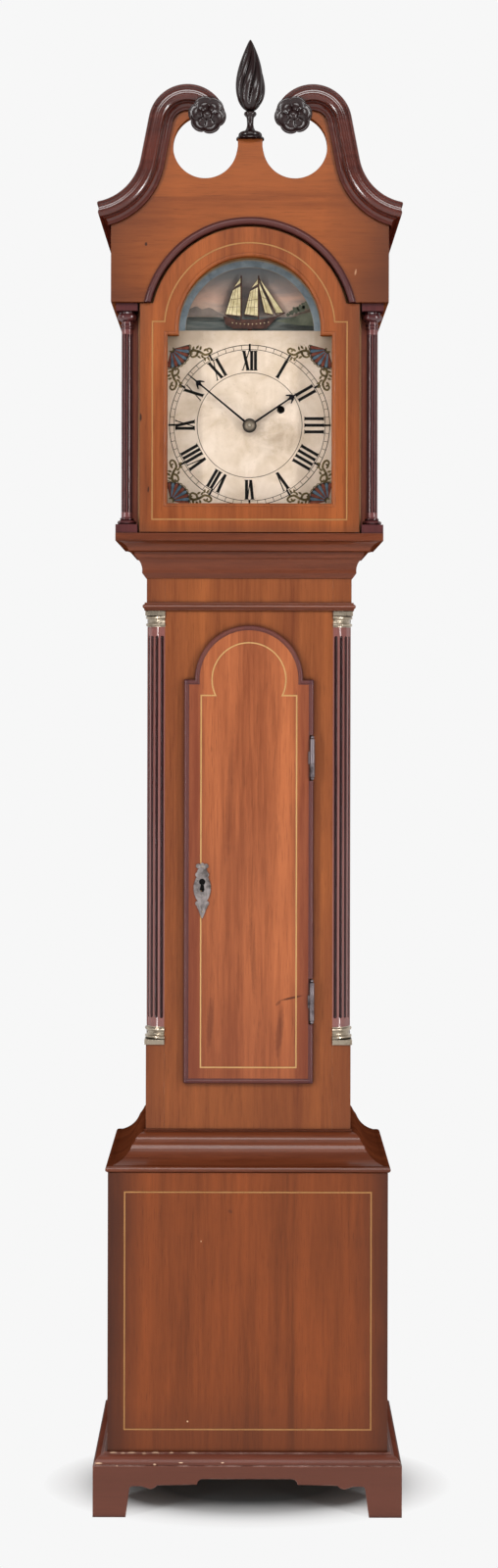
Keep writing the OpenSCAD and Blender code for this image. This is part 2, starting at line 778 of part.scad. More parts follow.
// Space of the lock case, let into the door's back; out adds to its open sides
module lock_space(out) {
    block([-core_hw + 1 - out, -key_x + 14], [bolt_y() - 1.5, core_back_y + 3.5],
        [key_z - 22, key_z + 14]);
}

// Space that a hinge leaf fills
module hinge_mortise(z, x0, x1, y0, y1) {
    block([x0, x1], [y0, y1], [z - hinge_len / 2, z + hinge_len / 2]);
}

// Fixed half of a butt hinge: two knuckles on the pin, its leaf let into the trunk's stile
module case_leaf(z) {
    third = hinge_len / 3;
    translate([hinge_x, hinge_y, z]) {
        for (s = [-1, 1])
            translate([0, 0, s * third - third / 2 + s * side_gap / 2])
                cylinder(r = hinge_r, h = third - side_gap / 2 + (s > 0 ? 0 : side_gap / 2));
        cylinder(r = pin_r, h = hinge_len + 4, center = true);
        for (s = [-1, 1])
            translate([0, 0, s * (hinge_len / 2 + 1.8)]) sphere(r = 2.2);
    }
    difference() {
        hinge_mortise(z, open_hw, open_hw + leaf_t, hinge_y, trunk_y + frame_t - 2);
        block([open_hw - 1, open_hw + leaf_t + 1], [hinge_y - 3, hinge_y + hinge_r + 0.8],
            [z - third / 2 - side_gap, z + third / 2 + side_gap]);
    }
}

module hinge_case_leaves() {
    color(STEEL) for (z = [hinge_low, hinge_high]) case_leaf(door_z + z);
}

// Moving half of a butt hinge: one knuckle and a leaf let into the door's edge
module door_leaf(z) {
    third = hinge_len / 3 - side_gap;
    difference() {
        union() {
            translate([hinge_x, hinge_y, z]) cylinder(r = hinge_r, h = third, center = true);
            block([core_hw - leaf_t, hinge_x], [hinge_y - 0.6, hinge_y + 0.9],
                [z - third / 2, z + third / 2]);
            block([core_hw - leaf_t, core_hw], [hinge_y - 0.6, core_back_y],
                [z - third / 2, z + third / 2]);
        }
        translate([hinge_x, hinge_y, z]) cylinder(r = pin_r + fit, h = hinge_len, center = true);
    }
}

module hinge_door_leaves() {
    color(STEEL) for (z = [hinge_low, hinge_high]) door_leaf(door_z + z);
}

// Outline of the trunk door's inlaid line, the width w inside its outer edge
module trunk_line(w) {
    hw = door_line_hw - w;
    z1 = shoulder_z - door_line_drop;
    translate([-hw, door_z + 17.7 + w]) square([2 * hw, z1 - door_z - 17.7 - 2 * w]);
    translate([0, shoulder_z]) circle(door_line_r - w);
}

// Keyhole through the door and its escutcheon
module keyhole(y0, y1) {
    bar([-key_x, key_z], 2.9, y0, y1);
    block([-key_x - 1.9, -key_x + 1.9], [y0, y1], [key_z - 11.5, key_z]);
}

module trunk_door() {
    r = bead_w / 2;
    hw = door_hw - r;
    ar = door_arch_r - r;
    z0 = door_z + r;
    z1 = shoulder_z - r;
    color(WOOD) difference() {
        union() {
            upright(lip_y, bead_y + r + 0.5) tombstone(hw, z0, z1, ar, shoulder_z);
            upright(bead_y + r, lip_back_y)
                tombstone(door_hw, door_z, shoulder_z, door_arch_r, shoulder_z);
            upright(lip_back_y, core_back_y)
                tombstone(core_hw, door_z + lip_w + door_fit, shoulder_z - lip_w - door_fit,
                    core_r, shoulder_z);
            bead_frame(hw, z0, z1, ar, shoulder_z, r, bead_y, bead_y + r);
        }
        upright(lip_y - 1, lip_y + 0.8) difference() {
            trunk_line(0);
            trunk_line(line_w);
        }
        keyhole(bead_y - 1, core_back_y + 1);
        lock_space(2);
        for (z = [hinge_low, hinge_high]) {
            block([core_hw - side_gap, door_hw + 1], [bead_y - 1, lip_back_y + 1],
                [door_z + z - hinge_len / 2 - 4.6, door_z + z + hinge_len / 2 + 4.6]);
            block([core_hw - leaf_t, door_hw + 1], [bead_y - 1, core_back_y + 1],
                [door_z + z - hinge_len / 6 + side_gap / 2, door_z + z + hinge_len / 6 - side_gap / 2]);
        }
    }
}

module trunk_door_stringing() {
    color(PALE_WOOD) upright(lip_y, lip_y + 0.8) difference() {
        trunk_line(0);
        trunk_line(line_w);
    }
}

// Cast escutcheon: an oval middle, lobed ends and a pointed foot
module escutcheon() {
    color(OLD_BRASS) difference() {
        upright(lip_y - escutcheon_t, lip_y) translate([-key_x, key_z - 8.5]) {
            for (s = [0:0.2:1]) translate([0, -7 + 16 * s]) circle(8 + 2 * sin(180 * s), $fn = 32);
            for (s = [-1, 1]) {
                translate([0, s * 19]) circle(6, $fn = 32);
                for (t = [-1, 1]) translate([t * 5, s * 16.5]) circle(2.9, $fn = 24);
            }
            translate([0, 25]) circle(4, $fn = 24);
            for (t = [-1, 0, 1]) translate([t * 4.6, 27.5 - abs(t)]) circle(2.6, $fn = 24);
            polygon([[-0.6, -33.4], [0.6, -33.4], [5, -22], [-5, -22]]);
        }
        keyhole(lip_y - 3, lip_y + 1);
    }
}

// Lock case with a channel for its bolt
module door_lock() {
    color(STEEL) difference() {
        lock_space(0);
        keyhole(bolt_y() - 3, bolt_y() + 1);
        block([-core_hw - 1, -key_x + 10],
            [bolt_y() - side_gap, bolt_y() + bolt_t + side_gap],
            [key_z - bolt_h / 2 - side_gap, key_z + bolt_h / 2 + side_gap]);
    }
}

module lock_bolt() {
    color(STEEL) block([-core_hw + 0.5, -key_x - 4], [bolt_y(), bolt_y() + bolt_t],
        [key_z - bolt_h / 2, key_z + bolt_h / 2]);
}

module hood_base_frame() {
    rail_back = mask_back_y;
    inner = trunk_hw + 0.6;
    color(DARK_WOOD) {
        difference() {
            block([-hood_hw, hood_hw], [hood_front_y, rail_back], [hood_z, hood_floor_z]);
            translate([pivot_x, pivot_y, hood_z - 1])
                cylinder(r = pivot_r + fit, h = hood_board_t + 2);
        }
        pair() block([inner, hood_hw], [rail_back, back_y], [hood_z, hood_floor_z]);
    }
}

module hood_posts() {
    post_y = hood_col_y() + col_block / 2;
    color(DARK_WOOD) pair() {
        block([col_in, hood_out], [post_y, post_y + 12.8], [hood_floor_z, roof_z]);
        block([col_in, hood_out], [tymp_back_y, post_y + eps], [frieze_z, roof_z]);
    }
}

// Distance of the hood columns' axes along Y
function hood_col_y() = front_y + 20.7;

module hood_sides() {
    y0 = hood_col_y() + col_block / 2 + 12.8;
    color(WOOD) pair() {
        block([hood_in, hood_out], [y0, back_y], [hood_floor_z, roof_z]);
        block([hood_out, tymp_hw], [tymp_back_y, back_y], [frieze_z, roof_z + 8]);
    }
}

module hood_roof() {
    color(PLAIN_WOOD)
        block([-hood_out, hood_out], [tymp_back_y, back_y], [roof_z, roof_z + 8]);
}

module dial_mask() {
    color(DARK_WOOD) difference() {
        block([-col_in, col_in], [mask_y, mask_back_y], [hood_floor_z, roof_z - 2]);
        upright(mask_y - 1, mask_back_y + 1)
            tombstone(mask_hw, dial_low_z + 2.5, dial_arch_z - 6, mask_r, dial_arch_z);
    }
}

// Flat profile of the swan-neck moulding: distance across the neck, reach from the tympanum
function neck_profile() = let (w = neck_hw, h = neck_reach) concat(
    [[-w, 0], [-w, 3.2], [-w + 2, 3.2]],
    arc([-w + 2, 9.2], 6, -90, -10, 5),
    [[-w + 9.2, 8.2]],
    arc([-w + 14.6, h - 6.2], 5.4, 180, 65, 7),
    bow([-w + 17.8, h - 1.4], [w - 3, h - 1.1], -0.09, 5),
    [[w - 3, h], [w - 1, h]],
    [[w, h - 1.2], [w, 0]]);

// Sweeps a profile along the lower bend of the left swan neck
module neck_foot(profile, y) {
    foot_angle = -89;
    translate([neck_low[0], y, neck_low[1]]) rotate([90, 0, 0]) rotate([0, 0, foot_angle])
        rotate_extrude(angle = -neck_lean - foot_angle, $fn = 96)
            polygon([for (q = profile) [neck_low_r - q[0], q[1]]]);
}

// Sweeps a profile up the straight and round the upper bend to the scroll
module neck_scroll(profile, y) {
    translate([neck_bend[0], y, neck_bend[1]]) rotate([0, neck_lean, 0])
        linear_extrude(neck_straight) polygon([for (q = backwards(profile)) [-q[0], -q[1]]]);
    translate([neck_top[0], y, neck_top[1]]) rotate([90, 0, 0]) rotate([0, 0, 20])
        rotate_extrude(angle = 160 - neck_lean, $fn = 96)
            polygon([for (q = backwards(profile)) [neck_top_r + q[0], q[1]]]);
}

// Where a point of the neck's profile meets the mitre, as reach outwards and height
function mitre_point(q) = let (x = -tymp_hw - q[1] - neck_low[0])
    [-q[1], neck_low[1] - sqrt((neck_low_r - q[0]) ^ 2 - x ^ 2)];

// Board behind the swan necks, cut to their outer edge and round the open scrolls
module tympanum_outline() {
    difference() {
        union() {
            translate([-tymp_hw, frieze_z]) square([2 * tymp_hw, frieze_h]);
            pair() polygon([[0, side_z - 1], [-tymp_hw + 1, side_z - 1],
                [neck_low[0] + 60, side_z + 24], neck_bend + [3, -2], neck_turn + [3, 4],
                for (a = [160:-20:60]) neck_top + (neck_top_r - 6) * [cos(a), sin(a)],
                [-rosette_x, rosette_z], [-scroll_x, scroll_z - 6],
                [scroll_r - scroll_x - 0.3, scroll_z - 6], [scroll_r - scroll_x + 0.6, scroll_z],
                [scroll_r - scroll_x + 0.6, plinth_top_z], [0, plinth_top_z]]);
        }
        pair() translate([-scroll_x, scroll_z]) circle(scroll_r);
        pair() translate(neck_low) circle(neck_low_r - neck_hw + 1);
        translate([0, arch_z]) circle(tymp_r);
    }
}

module tympanum() {
    board = [[-neck_hw + 1, 0], [neck_hw - 1, 0], [neck_hw - 1, -tymp_t], [-neck_hw + 1, -tymp_t]];
    ring_r = 3.6;
    rise = asin((frieze_z - arch_z) / (tymp_r + ring_r));
    color(WOOD) {
        difference() {
            union() {
                upright(tymp_y, tymp_back_y) tympanum_outline();
                intersection() {
                    pair() {
                        neck_foot(board, tymp_y);
                        neck_scroll(board, tymp_y);
                    }
                    block([-tymp_hw, tymp_hw], [tymp_y, tymp_back_y], [frieze_z, neck_z + 60]);
                }
            }
            pair() translate([pivot_x, pivot_y, frieze_z - 1])
                cylinder(r = pivot_r + fit, h = pivot_len + 2);
        }
    }
    color(DARK_WOOD) difference() {
        bead_ring([0, arch_z], tymp_r + ring_r, ring_r, tymp_y - 3.1, tymp_y + 2,
            rise - 4, 184 - rise);
        block([-200, 200], [front_y - 50, front_y + 50], [arch_z - 60, frieze_z]);
    }
}

module swan_necks() {
    reach = neck_reach;
    color(DARK_WOOD) pair() {
        neck_scroll(neck_profile(), tymp_y);
        intersection() {
            neck_foot(neck_profile(), tymp_y);
            translate([0, 0, frieze_z]) linear_extrude(neck_rise + 60)
                polygon([[0, tymp_y], [-tymp_hw, tymp_y], [-tymp_hw - reach, tymp_y - reach],
                    [0, tymp_y - reach]]);
        }
        intersection() {
            translate([-tymp_hw, back_y, 0]) rotate([90, 0, 0])
                linear_extrude(base_d + 20) polygon([for (q = neck_profile()) mitre_point(q)]);
            translate([0, 0, frieze_z]) linear_extrude(neck_rise)
                polygon([[-tymp_hw, back_y], [-tymp_hw, tymp_y],
                    [-tymp_hw - reach, tymp_y - reach], [-tymp_hw - reach, back_y]]);
        }
    }
}

// Rosette: petals round a domed boss on a turned disc
module rosettes() {
    petal = rosette_r * 0.33;
    depth = rosette_y - (front_y - rosette_out);
    color(DARK_WOOD) pair() translate([-rosette_x, rosette_y, rosette_z]) rotate([90, 0, 0]) {
        cylinder(r = rosette_r * 0.78, h = depth * 0.45);
        intersection() {
            union() {
                for (i = [0:7]) rotate([0, 0, i * 45]) {
                    translate([rosette_r - petal, 0, -petal * 0.1]) sphere(r = petal, $fn = 32);
                    rotate([0, 0, 22.5]) translate([rosette_r * 0.45, 0, depth * 0.2])
                        sphere(r = petal * 0.55, $fn = 24);
                }
                translate([0, 0, depth - 5]) sphere(r = 5, $fn = 32);
            }
            cylinder(r = rosette_r + 1, h = depth);
        }
        cylinder(r = 6.5, h = depth * 0.65);
    }
}

// Radius of the flame at height t from 0 to 1, and the twist of its carved ribs
function flame_at(t) = flame_r * pow(sin(180 * pow(t, 0.72)), 0.75) * (1 - 0.25 * t) + 1.2;
function flame_point(t, a, h) = let (r = flame_at(t) * (1 + 0.1 * sin(6 * a + 260 * t)))
    [r * cos(a), r * sin(a), h * t];

module flame(h) {
    rings = 18;
    sides = 30;
    points = [for (i = [0:rings]) for (j = [0:sides - 1])
        flame_point(i / rings, j * 360 / sides, h)];
    walls = [for (i = [0:rings - 1]) for (j = [0:sides - 1])
        let (a = i * sides + j, b = i * sides + (j + 1) % sides) each
            [[a, a + sides, b], [b, a + sides, b + sides]]];
    caps = [[for (j = [0:sides - 1]) j], [for (j = [sides - 1:-1:0]) rings * sides + j]];
    polyhedron(points, concat(walls, caps));
}

module finial() {
    h = finial_h;
    color(DARK_WOOD) translate([0, finial_y, plinth_top_z]) {
        rotate_extrude() polygon(concat([[0, 0], [15.8, 0], [15.8, 2.2], [12, 3]],
            arc([10.6, 5.8], 2.8, -60, 90, 5), [[6, 9.4]],
            arc([10.5, 16.5], 7, 240, 180, 4), [[3.7, 20.5], [4, 26]],
            arc([4.4, 29.6], 2.9, -60, 60, 4), [[4.6, 33], [0, 33]]));
        translate([0, 0, 32.4]) flame(h - 32.4);
    }
}

// Column profile from the floor up: plinth block, rings, shaft, necking and abacus are one turning
module hood_column(block_w, shaft_r, flutes) {
    h = hood_col_h;
    cap = h - 9;
    block([-block_w / 2, block_w / 2], [-block_w / 2, block_w / 2], [0, 9.8]);
    block([-block_w / 2, block_w / 2], [-block_w / 2, block_w / 2], [cap, h]);
    rotate_extrude() polygon(concat([[0, 9], [shaft_r + 2.6, 9]],
        arc([shaft_r + 2.2, 12.2], 2.4, -90, 90, 4), [[shaft_r + 1, 15.2]],
        arc([shaft_r + 0.6, 16.4], 1.1, -90, 90, 3), [[shaft_r, 18.4], [0, 18.4]]));
    difference() {
        translate([0, 0, 18]) cylinder(r = shaft_r, h = cap - 38);
        for (i = [0:flutes - 1]) rotate([0, 0, (i + 0.5) * 360 / flutes])
            translate([shaft_r + 0.35, 0, 24]) cylinder(r = 1.25, h = cap - 50, $fn = 16);
    }
    translate([0, 0, cap - 20.4]) rotate_extrude() polygon(concat([[0, 0], [shaft_r, 0]],
        arc([shaft_r, 1.4], 1.2, -90, 90, 3), [[shaft_r, 4]],
        arc([shaft_r, 5.2], 1.2, -90, 90, 3), [[shaft_r, 8.6]],
        arc([shaft_r + 1.2, 14], 4.2, -60, 60, 5), [[shaft_r + 3, 20.4], [0, 20.4]]));
}

module hood_columns() {
    rear_block = 2 * (hood_hw - hood_out);
    color(DARK_WOOD) pair() {
        translate([col_x, hood_col_y(), hood_floor_z]) hood_column(col_block, col_d / 2, 12);
        intersection() {
            translate([hood_out, back_y - 16, hood_floor_z])
                hood_column(rear_block, rear_block / 2 - 2, 12);
            block([hood_out, tymp_hw], [back_y - 40, back_y], [hood_floor_z, frieze_z]);
        }
    }
}

// Outline of the hood door's inlaid line, the width w inside its outer edge
module hood_line(w) {
    hw = hood_door_hw - 13.5 - w;
    z0 = hood_door_z + 13.5 + w;
    z1 = arch_z + 5.7 - w;
    translate([-hw, z0]) square([2 * hw, z1 - z0]);
    translate([0, arch_z - 2.3]) circle(hood_door_r - 15.2 - w);
}

// Inner edge of the hood door, grown by g
module hood_opening(g) {
    tombstone(hood_open_hw + g, hood_open_z - g, hood_open_shoulder_z + g,
        hood_open_r + g, dial_arch_z);
}

module hood_door() {
    y0 = hood_door_y;
    y1 = y0 + hood_door_t;
    r = 1.8;
    off = r + 0.5;
    color(WOOD) difference() {
        union() {
            upright(y0, y1)
                tombstone(hood_door_hw, hood_door_z, frieze_z - door_fit, hood_door_r, arch_z);
            bead_frame(hood_open_hw + off, hood_open_z - off, hood_open_shoulder_z + off,
                hood_open_r + off, dial_arch_z, r, y0 - 0.9, y0 + r);
        }
        upright(y0 - 2, y1 + 1) hood_opening(0);
        upright(glass_y, y1 + 1) hood_opening(rebate);
        upright(y0 - 1, y0 + 0.8) difference() {
            hood_line(0);
            hood_line(line_w);
        }
        translate([pivot_x, pivot_y, hood_door_z - 1]) cylinder(r = pivot_r, h = pivot_len + 1);
        translate([pivot_x, pivot_y, frieze_z - door_fit - pivot_len])
            cylinder(r = pivot_r, h = pivot_len + 1);
    }
}

module hood_door_stringing() {
    color(PALE_WOOD) upright(hood_door_y - 0.1, hood_door_y + 0.8) difference() {
        hood_line(0);
        hood_line(line_w);
    }
}

module hood_door_glass() {
    color("#cfe0e0", 0.3) upright(glass_y, glass_y + glass_t) hood_opening(rebate);
}

module hood_door_pivots() {
    color(BRASS) {
        translate([pivot_x, pivot_y, hood_floor_z - pivot_len])
            cylinder(r = pivot_r, h = 2 * pivot_len + door_fit);
        translate([pivot_x, pivot_y, frieze_z - door_fit - pivot_len])
            cylinder(r = pivot_r, h = 2 * pivot_len + door_fit);
    }
}

// Outline of a movement plate, with its upper corners cut
module plate_outline() {
    hw = plate_w / 2;
    z0 = dial_z - plate_low;
    z1 = dial_z + plate_high;
    polygon([[-hw, z0], [hw, z0], [hw, z1 - 6], [hw - 6, z1], [-hw + 6, z1], [-hw, z1 - 6]]);
}

// Centres of the four pillars
function pillars() = [for (x = [-1, 1]) for (z = [dial_z - plate_low + 8, dial_z + plate_high - 8])
    [x * (plate_w / 2 - 8), z]];

module front_plate() {
    y = front_plate_y;
    color(BRASS) difference() {
        union() {
            upright(y, y + plate_t) plate_outline();
            bar(STUD, 1.2, hour_wheel_y - 2.5, y);
            bar(STUD, 3, y - 1.2, y);
        }
        bar(CENTRE, 2 + fit, y - 1, y + plate_t + 1);
        bar(GREAT, barrel_arbor_r + fit, y - 1, y + plate_t + 1);
        bar(PALLET, arbor_r + fit, y - 1, y + plate_t + 1);
        for (p = [THIRD, ESCAPE]) bar(p, pivot + fit, y - 1, y + plate_t + 1);
    }
}

module back_plate() {
    y = back_plate_y;
    color(BRASS) difference() {
        upright(y, y + plate_t) plate_outline();
        bar(GREAT, arbor_r + fit, y - 1, y + plate_t + 1);
        bar(PALLET, 4, y - 1, y + plate_t + 1);
        for (p = [CENTRE, THIRD, ESCAPE]) bar(p, pivot + fit, y - 1, y + plate_t + 1);
    }
}

module plate_pillars() {
    color(BRASS) for (p = pillars()) {
        turned(p, plates_in_y) polygon([[0, 0], [4.5, 0], [4.5, 4], [3, 8], [2.6, plate_gap / 2],
            [3, plate_gap - 8], [4.5, plate_gap - 4], [4.5, plate_gap], [0, plate_gap]]);
    }
}

// Cock on the back plate: carries the pallet arbor's rear pivot and the pendulum's spring
module back_cock() {
    p = PALLET;
    y = cock_y;
    color(BRASS) difference() {
        union() {
            pair() bar([p[0] + 22, p[1]], 5, plates_back_y, y);
            block([-27, 27], [y, y + 3], [p[1] - 5, p[1] + 5]);
            block([-6, 6], [y, y + 3], [p[1] - 8, p[1] + 12]);
            block([-5, 5], [y + 3, pendulum_y + 7], [p[1] - 3, p[1] + 12]);
        }
        bar(p, pivot + fit, y - 1, y + 3.5);
        block([-0.7, 0.7], [pendulum_y - 5, pendulum_y + 5], [p[1] - 4, p[1] + 8]);
    }
}

// Dial plate with its arch window, centre hole, winding hole and four feet
module dial_plate() {
    color(SILVERED) difference() {
        union() {
            upright(dial_y, dial_back_y)
                tombstone(dial_w / 2, dial_low_z, dial_arch_z, dial_arch_r, dial_arch_z);
            for (x = [-42, 42]) for (z = [-46, 66])
                bar([x, dial_z + z], 2.5, dial_back_y, front_plate_y);
        }
        upright(dial_y - 1, dial_back_y + 1) intersection() {
            translate([0, dial_arch_z]) circle(window_r);
            translate([-window_r, dial_arch_z + 1]) square([2 * window_r, window_r]);
        }
        bar(CENTRE, 5, dial_y - 1, dial_back_y + 1);
        bar(GREAT, 4.5, dial_y - 1, dial_back_y + 1);
    }
}

// Backdrop behind the ship, hung on two posts from the dial
module scenery_plate() {
    r = window_r + 8;
    y = dial_back_y + 8.5;
    color("#9aa3a0") {
        upright(y, y + 1.2) intersection() {
            translate([0, dial_arch_z]) circle(r);
            translate([-r, dial_arch_z - 6]) square([2 * r, r + 6]);
        }
        pair() bar([78, dial_arch_z + 12], 1.8, dial_back_y, y);
    }
}

module centre_arbor() {
    wheel_turn = heading(CENTRE, THIRD);
    color(BRASS) {
        wheel(CENTRE, centre_y, 2, centre_teeth, centre_m, wheel_turn, 5, 1, 4);
        pinion(CENTRE, minute_wheel_y - 0.5, front_plate_y - 1, cannon_teeth, cannon_m,
            heading(CENTRE, STUD) + 180 / cannon_teeth);
        difference() {
            bar(CENTRE, pipe_r, hand_y, minute_wheel_y - 0.5 + eps);
            bar(CENTRE, arbor_r, hand_y - 1, minute_wheel_y);
        }
        pinion(CENTRE, plates_in_y + 1, plates_in_y + 8, leaves, great_m,
            heading(CENTRE, GREAT) + 180 / leaves);
        bar(CENTRE, 2, front_plate_y - 1 - eps, back_plate_y - end_shake);
        bar(CENTRE, arbor_r, dial_y - 11.5, front_plate_y);
        bar(CENTRE, pivot, back_plate_y - 1, plates_back_y);
    }
}

// Hand outline along +X from a ring: a slim blade with a barbed cross before the tip
module hand_outline(ring_r, length, barb) {
    x = length - barb;
    half = [[0, 1.3], [x - 5, 0.85], [x - 2, 1.6], [x - 1.4, 2.6], [x - 4.4, 5], [x - 3.6, 6],
        [x + 1.2, 3.4], [x + 3.6, 0.9], [length - 1.5, 0.5]];
    circle(ring_r);
    polygon(concat([for (q = half) [q[0], -q[1]]], [[length, 0]], backwards(half)));
}

module hand(angle, y0, y1, ring_r, length, barb, bore) {
    upright(y0, y1) translate(CENTRE) rotate(90 - angle) difference() {
        hand_outline(ring_r, length, barb);
        circle(bore);
    }
}

module minute_hand() {
    y = hand_y;
    color(BLUED) hand(minute_angle, y, y + 1, 8, minute_len, 17, pipe_r);
    color(BRASS) turned(CENTRE, y - 2.4) difference() {
        polygon([[arbor_r, 0], [3.4, 0], [5.8, 1.4], [5.8, 2.4 + eps], [arbor_r, 2.4 + eps]]);
    }
}

module hour_wheel() {
    y = hour_wheel_y;
    color(BRASS) {
        wheel(CENTRE, y, 2, hour_teeth, hour_m,
            heading(CENTRE, STUD), 5.5, pipe_r + fit, 4);
        difference() {
            bar(CENTRE, hour_pipe_r, dial_y - 5.6, y + 4);
            bar(CENTRE, pipe_r + fit, dial_y - 7, y + 5);
        }
    }
}

module hour_hand() {
    color(BLUED) hand(hour_angle, dial_y - 5.4, dial_y - 4.2, 8, hour_len, 12, hour_pipe_r);
}

module minute_wheel() {
    turn = heading(STUD, CENTRE);
    color(BRASS) {
        difference() {
            union() {
                wheel(STUD, minute_wheel_y, 2, minute_teeth, cannon_m, turn, 4.6, 1.2 + fit, 4);
                pinion(STUD, hour_wheel_y - 1, minute_wheel_y + eps, minute_leaves, hour_m,
                    turn + 180 / minute_leaves);
            }
            bar(STUD, 1.2 + fit, hour_wheel_y - 3, minute_wheel_y + 3);
        }
    }
}

module great_wheel() {
    color(BRASS) {
        wheel(GREAT, great_y, 3, great_teeth, great_m, heading(GREAT, CENTRE), 13,
            barrel_arbor_r + fit, 4);
        bar(GREAT + [9.4, 9.4], 1.6, great_y + 2.9, ratchet_y + 2.4);
        upright(ratchet_y + 0.2, ratchet_y + 2.2) translate(GREAT)
            polygon([[7.6, 8.2], [11, 7.6], [11.6, 11.6], [9.4, 12], [6.6, 9.1]]);
    }
}

module barrel() {
    ridge = gut_d * 1.05;
    low_r = drum_r - gut_d / 2;
    turns = floor((drum_len - 3) / ridge);
    square_w = 5;
    color(BRASS) {
        upright(ratchet_y, ratchet_y + 2.4) translate(GREAT)
            toothed(28, [[9.2, -5], [9.4, 4.5], [10.6, 5.5], [10.8, 6.2]]);
        turned(GREAT, drum_y) polygon(concat(
            [[0, -2], [drum_r + 3, -2], [drum_r + 3, 0], [low_r, 0], [low_r, 1.5]],
            [for (i = [0:turns - 1]) each [[low_r, 1.5 + i * ridge + 0.1],
                [drum_r - line_gap, 1.5 + (i + 0.5) * ridge]]],
            [[low_r, drum_len - 1.5], [low_r, drum_len], [drum_r + 3, drum_len],
                [drum_r + 3, drum_len + 2], [0, drum_len + 2]]));
        bar(GREAT, barrel_arbor_r, front_plate_y - 1.5, back_plate_y - end_shake);
        bar(GREAT, arbor_r, back_plate_y - 1, plates_back_y);
        upright(dial_back_y + 1, front_plate_y - 1) translate(GREAT) rotate(20)
            square(square_w, center = true);
    }
}

// A train arbor with pivots in both plates
module arbor(p) {
    bar(p, arbor_r, plates_in_y + end_shake, back_plate_y - end_shake);
    bar(p, pivot, front_plate_y, plates_back_y);
}

module third_wheel() {
    color(BRASS) {
        arbor(THIRD);
        pinion(THIRD, centre_y - 1, back_plate_y - end_shake - 0.3, leaves, centre_m,
            heading(THIRD, CENTRE) + 180 / leaves);
        wheel(THIRD, third_y, 2, third_teeth, third_m, heading(THIRD, ESCAPE), 4, 1, 4);
    }
}

module escape_wheel() {
    color(BRASS) {
        arbor(ESCAPE);
        pinion(ESCAPE, third_y - 2, third_y + 4, leaves, third_m,
            heading(ESCAPE, THIRD) + 180 / leaves);
        upright(escape_y, escape_y + 2) translate(ESCAPE) difference() {
            toothed(escape_teeth, escape_tooth(escape_teeth, escape_r));
            crossings(escape_r * 0.68, 3.6, 4, 2.4);
        }
    }
}

// Recoil anchor, its arbor and the crutch that pushes the pendulum
module anchor() {
    p = PALLET;
    arm = [[0, 4], [6, 3], [14.6, -5], [17.2, -13.5], [14.2, -12.5], [12.4, -8], [5, -2], [0, -4]];
    low_z = p[1] - 108;
    gap = rod_r + 0.35;
    color(STEEL) {
        upright(escape_y - 0.5, escape_y + 2.5) translate(p)
            polygon(concat(arm, [for (i = [6:-1:1]) [-arm[i][0], arm[i][1]]]));
        bar(p, arbor_r, dial_back_y + 3, cock_y - end_shake);
        bar(p, pivot, cock_y - 1, cock_y + 3);
        bar(p, 3.4, crutch_y, crutch_y + 2);
        block([-1.6, 1.6], [crutch_y, crutch_y + 2], [low_z, p[1]]);
        block([-gap - 1.5, gap + 1.5], [crutch_y, crutch_y + 2], [low_z - 4, low_z + eps]);
        pair() block([gap, gap + 1.5], [crutch_y + 1, pendulum_y + 5], [low_z - 4, low_z]);
    }
}

// Rocking two-masted ship on its stem
module ship() {
    z = dial_arch_z + 8;
    y = dial_back_y + 3.5;
    color("#b9a06a") upright(y, y + 1) difference() {
        union() {
            translate(PALLET) circle(4.4);
            translate([-2.5, PALLET[1]]) square([5, z - PALLET[1] + 1]);
            polygon([[-31, z + 11], [-28, z + 1], [-19, z - 4], [19, z - 4], [28, z + 6],
                [33, z + 11], [13, z + 7], [-15, z + 6.6]]);
            for (x = [-10, 10]) translate([x - 0.8, z]) square([1.6, 57.5]);
            polygon([[-10, z + 46], [-20, z + 41], [-29, z + 12], [-10, z + 10]]);
            polygon([[10, z + 45], [0, z + 40], [-7, z + 12], [10, z + 10]]);
            polygon([[-10, z + 56], [-19, z + 44], [-10, z + 48]]);
            polygon([[10, z + 55], [1, z + 43], [10, z + 47]]);
            polygon([[10, z + 50], [10, z + 44], [17, z + 14], [28, z + 12]]);
            polygon([[10, z + 56], [10.5, z + 53.5], [30, z + 13.5], [40, z + 14.5]]);
            polygon([[27, z + 9], [29, z + 8.6], [41, z + 14], [40.5, z + 15.2]]);
        }
        translate(PALLET) circle(arbor_r);
    }
}

module pendulum_rod() {
    top = PALLET[1];
    color(STEEL) {
        block([-0.2, 0.2], [pendulum_y - 4, pendulum_y + 4], [top - 20, top + 6]);
        block([-2, 2], [pendulum_y - 5, pendulum_y + 5], [top - 24, top - 16]);
        translate([0, pendulum_y, bob_z - bob_r - 20])
            cylinder(r = rod_r, h = top - 23 - bob_z + bob_r + 20);
    }
}

// Lens-shaped bob with a hole for the rod
module pendulum_bob() {
    lens_r = (bob_r ^ 2 + (bob_t / 2) ^ 2) / bob_t;
    half = asin(bob_r / lens_r);
    edge = arc([0, lens_r - bob_t / 2], lens_r, -90, -90 + half, 10);
    color(BRASS) difference() {
        turned([0, bob_z], pendulum_y) polygon(concat(edge,
            [for (i = [len(edge) - 2:-1:0]) [edge[i][0], -edge[i][1]]]));
        translate([0, pendulum_y, bob_z - bob_r - 1]) cylinder(r = rod_r + fit, h = 2 * bob_r + 2);
    }
}

module rating_nut() {
    z = bob_z - bob_r - nut_h;
    color(BRASS) difference() {
        translate([0, pendulum_y, z]) cylinder(r = 7, h = nut_h);
        translate([0, pendulum_y, z - 1]) cylinder(r = rod_r + fit, h = nut_h + 2);
        for (i = [0:23]) translate([0, pendulum_y, z - 1]) rotate([0, 0, i * 15])
            translate([7.3, 0, 0]) cylinder(r = 0.6, h = nut_h + 2, $fn = 16);
    }
}

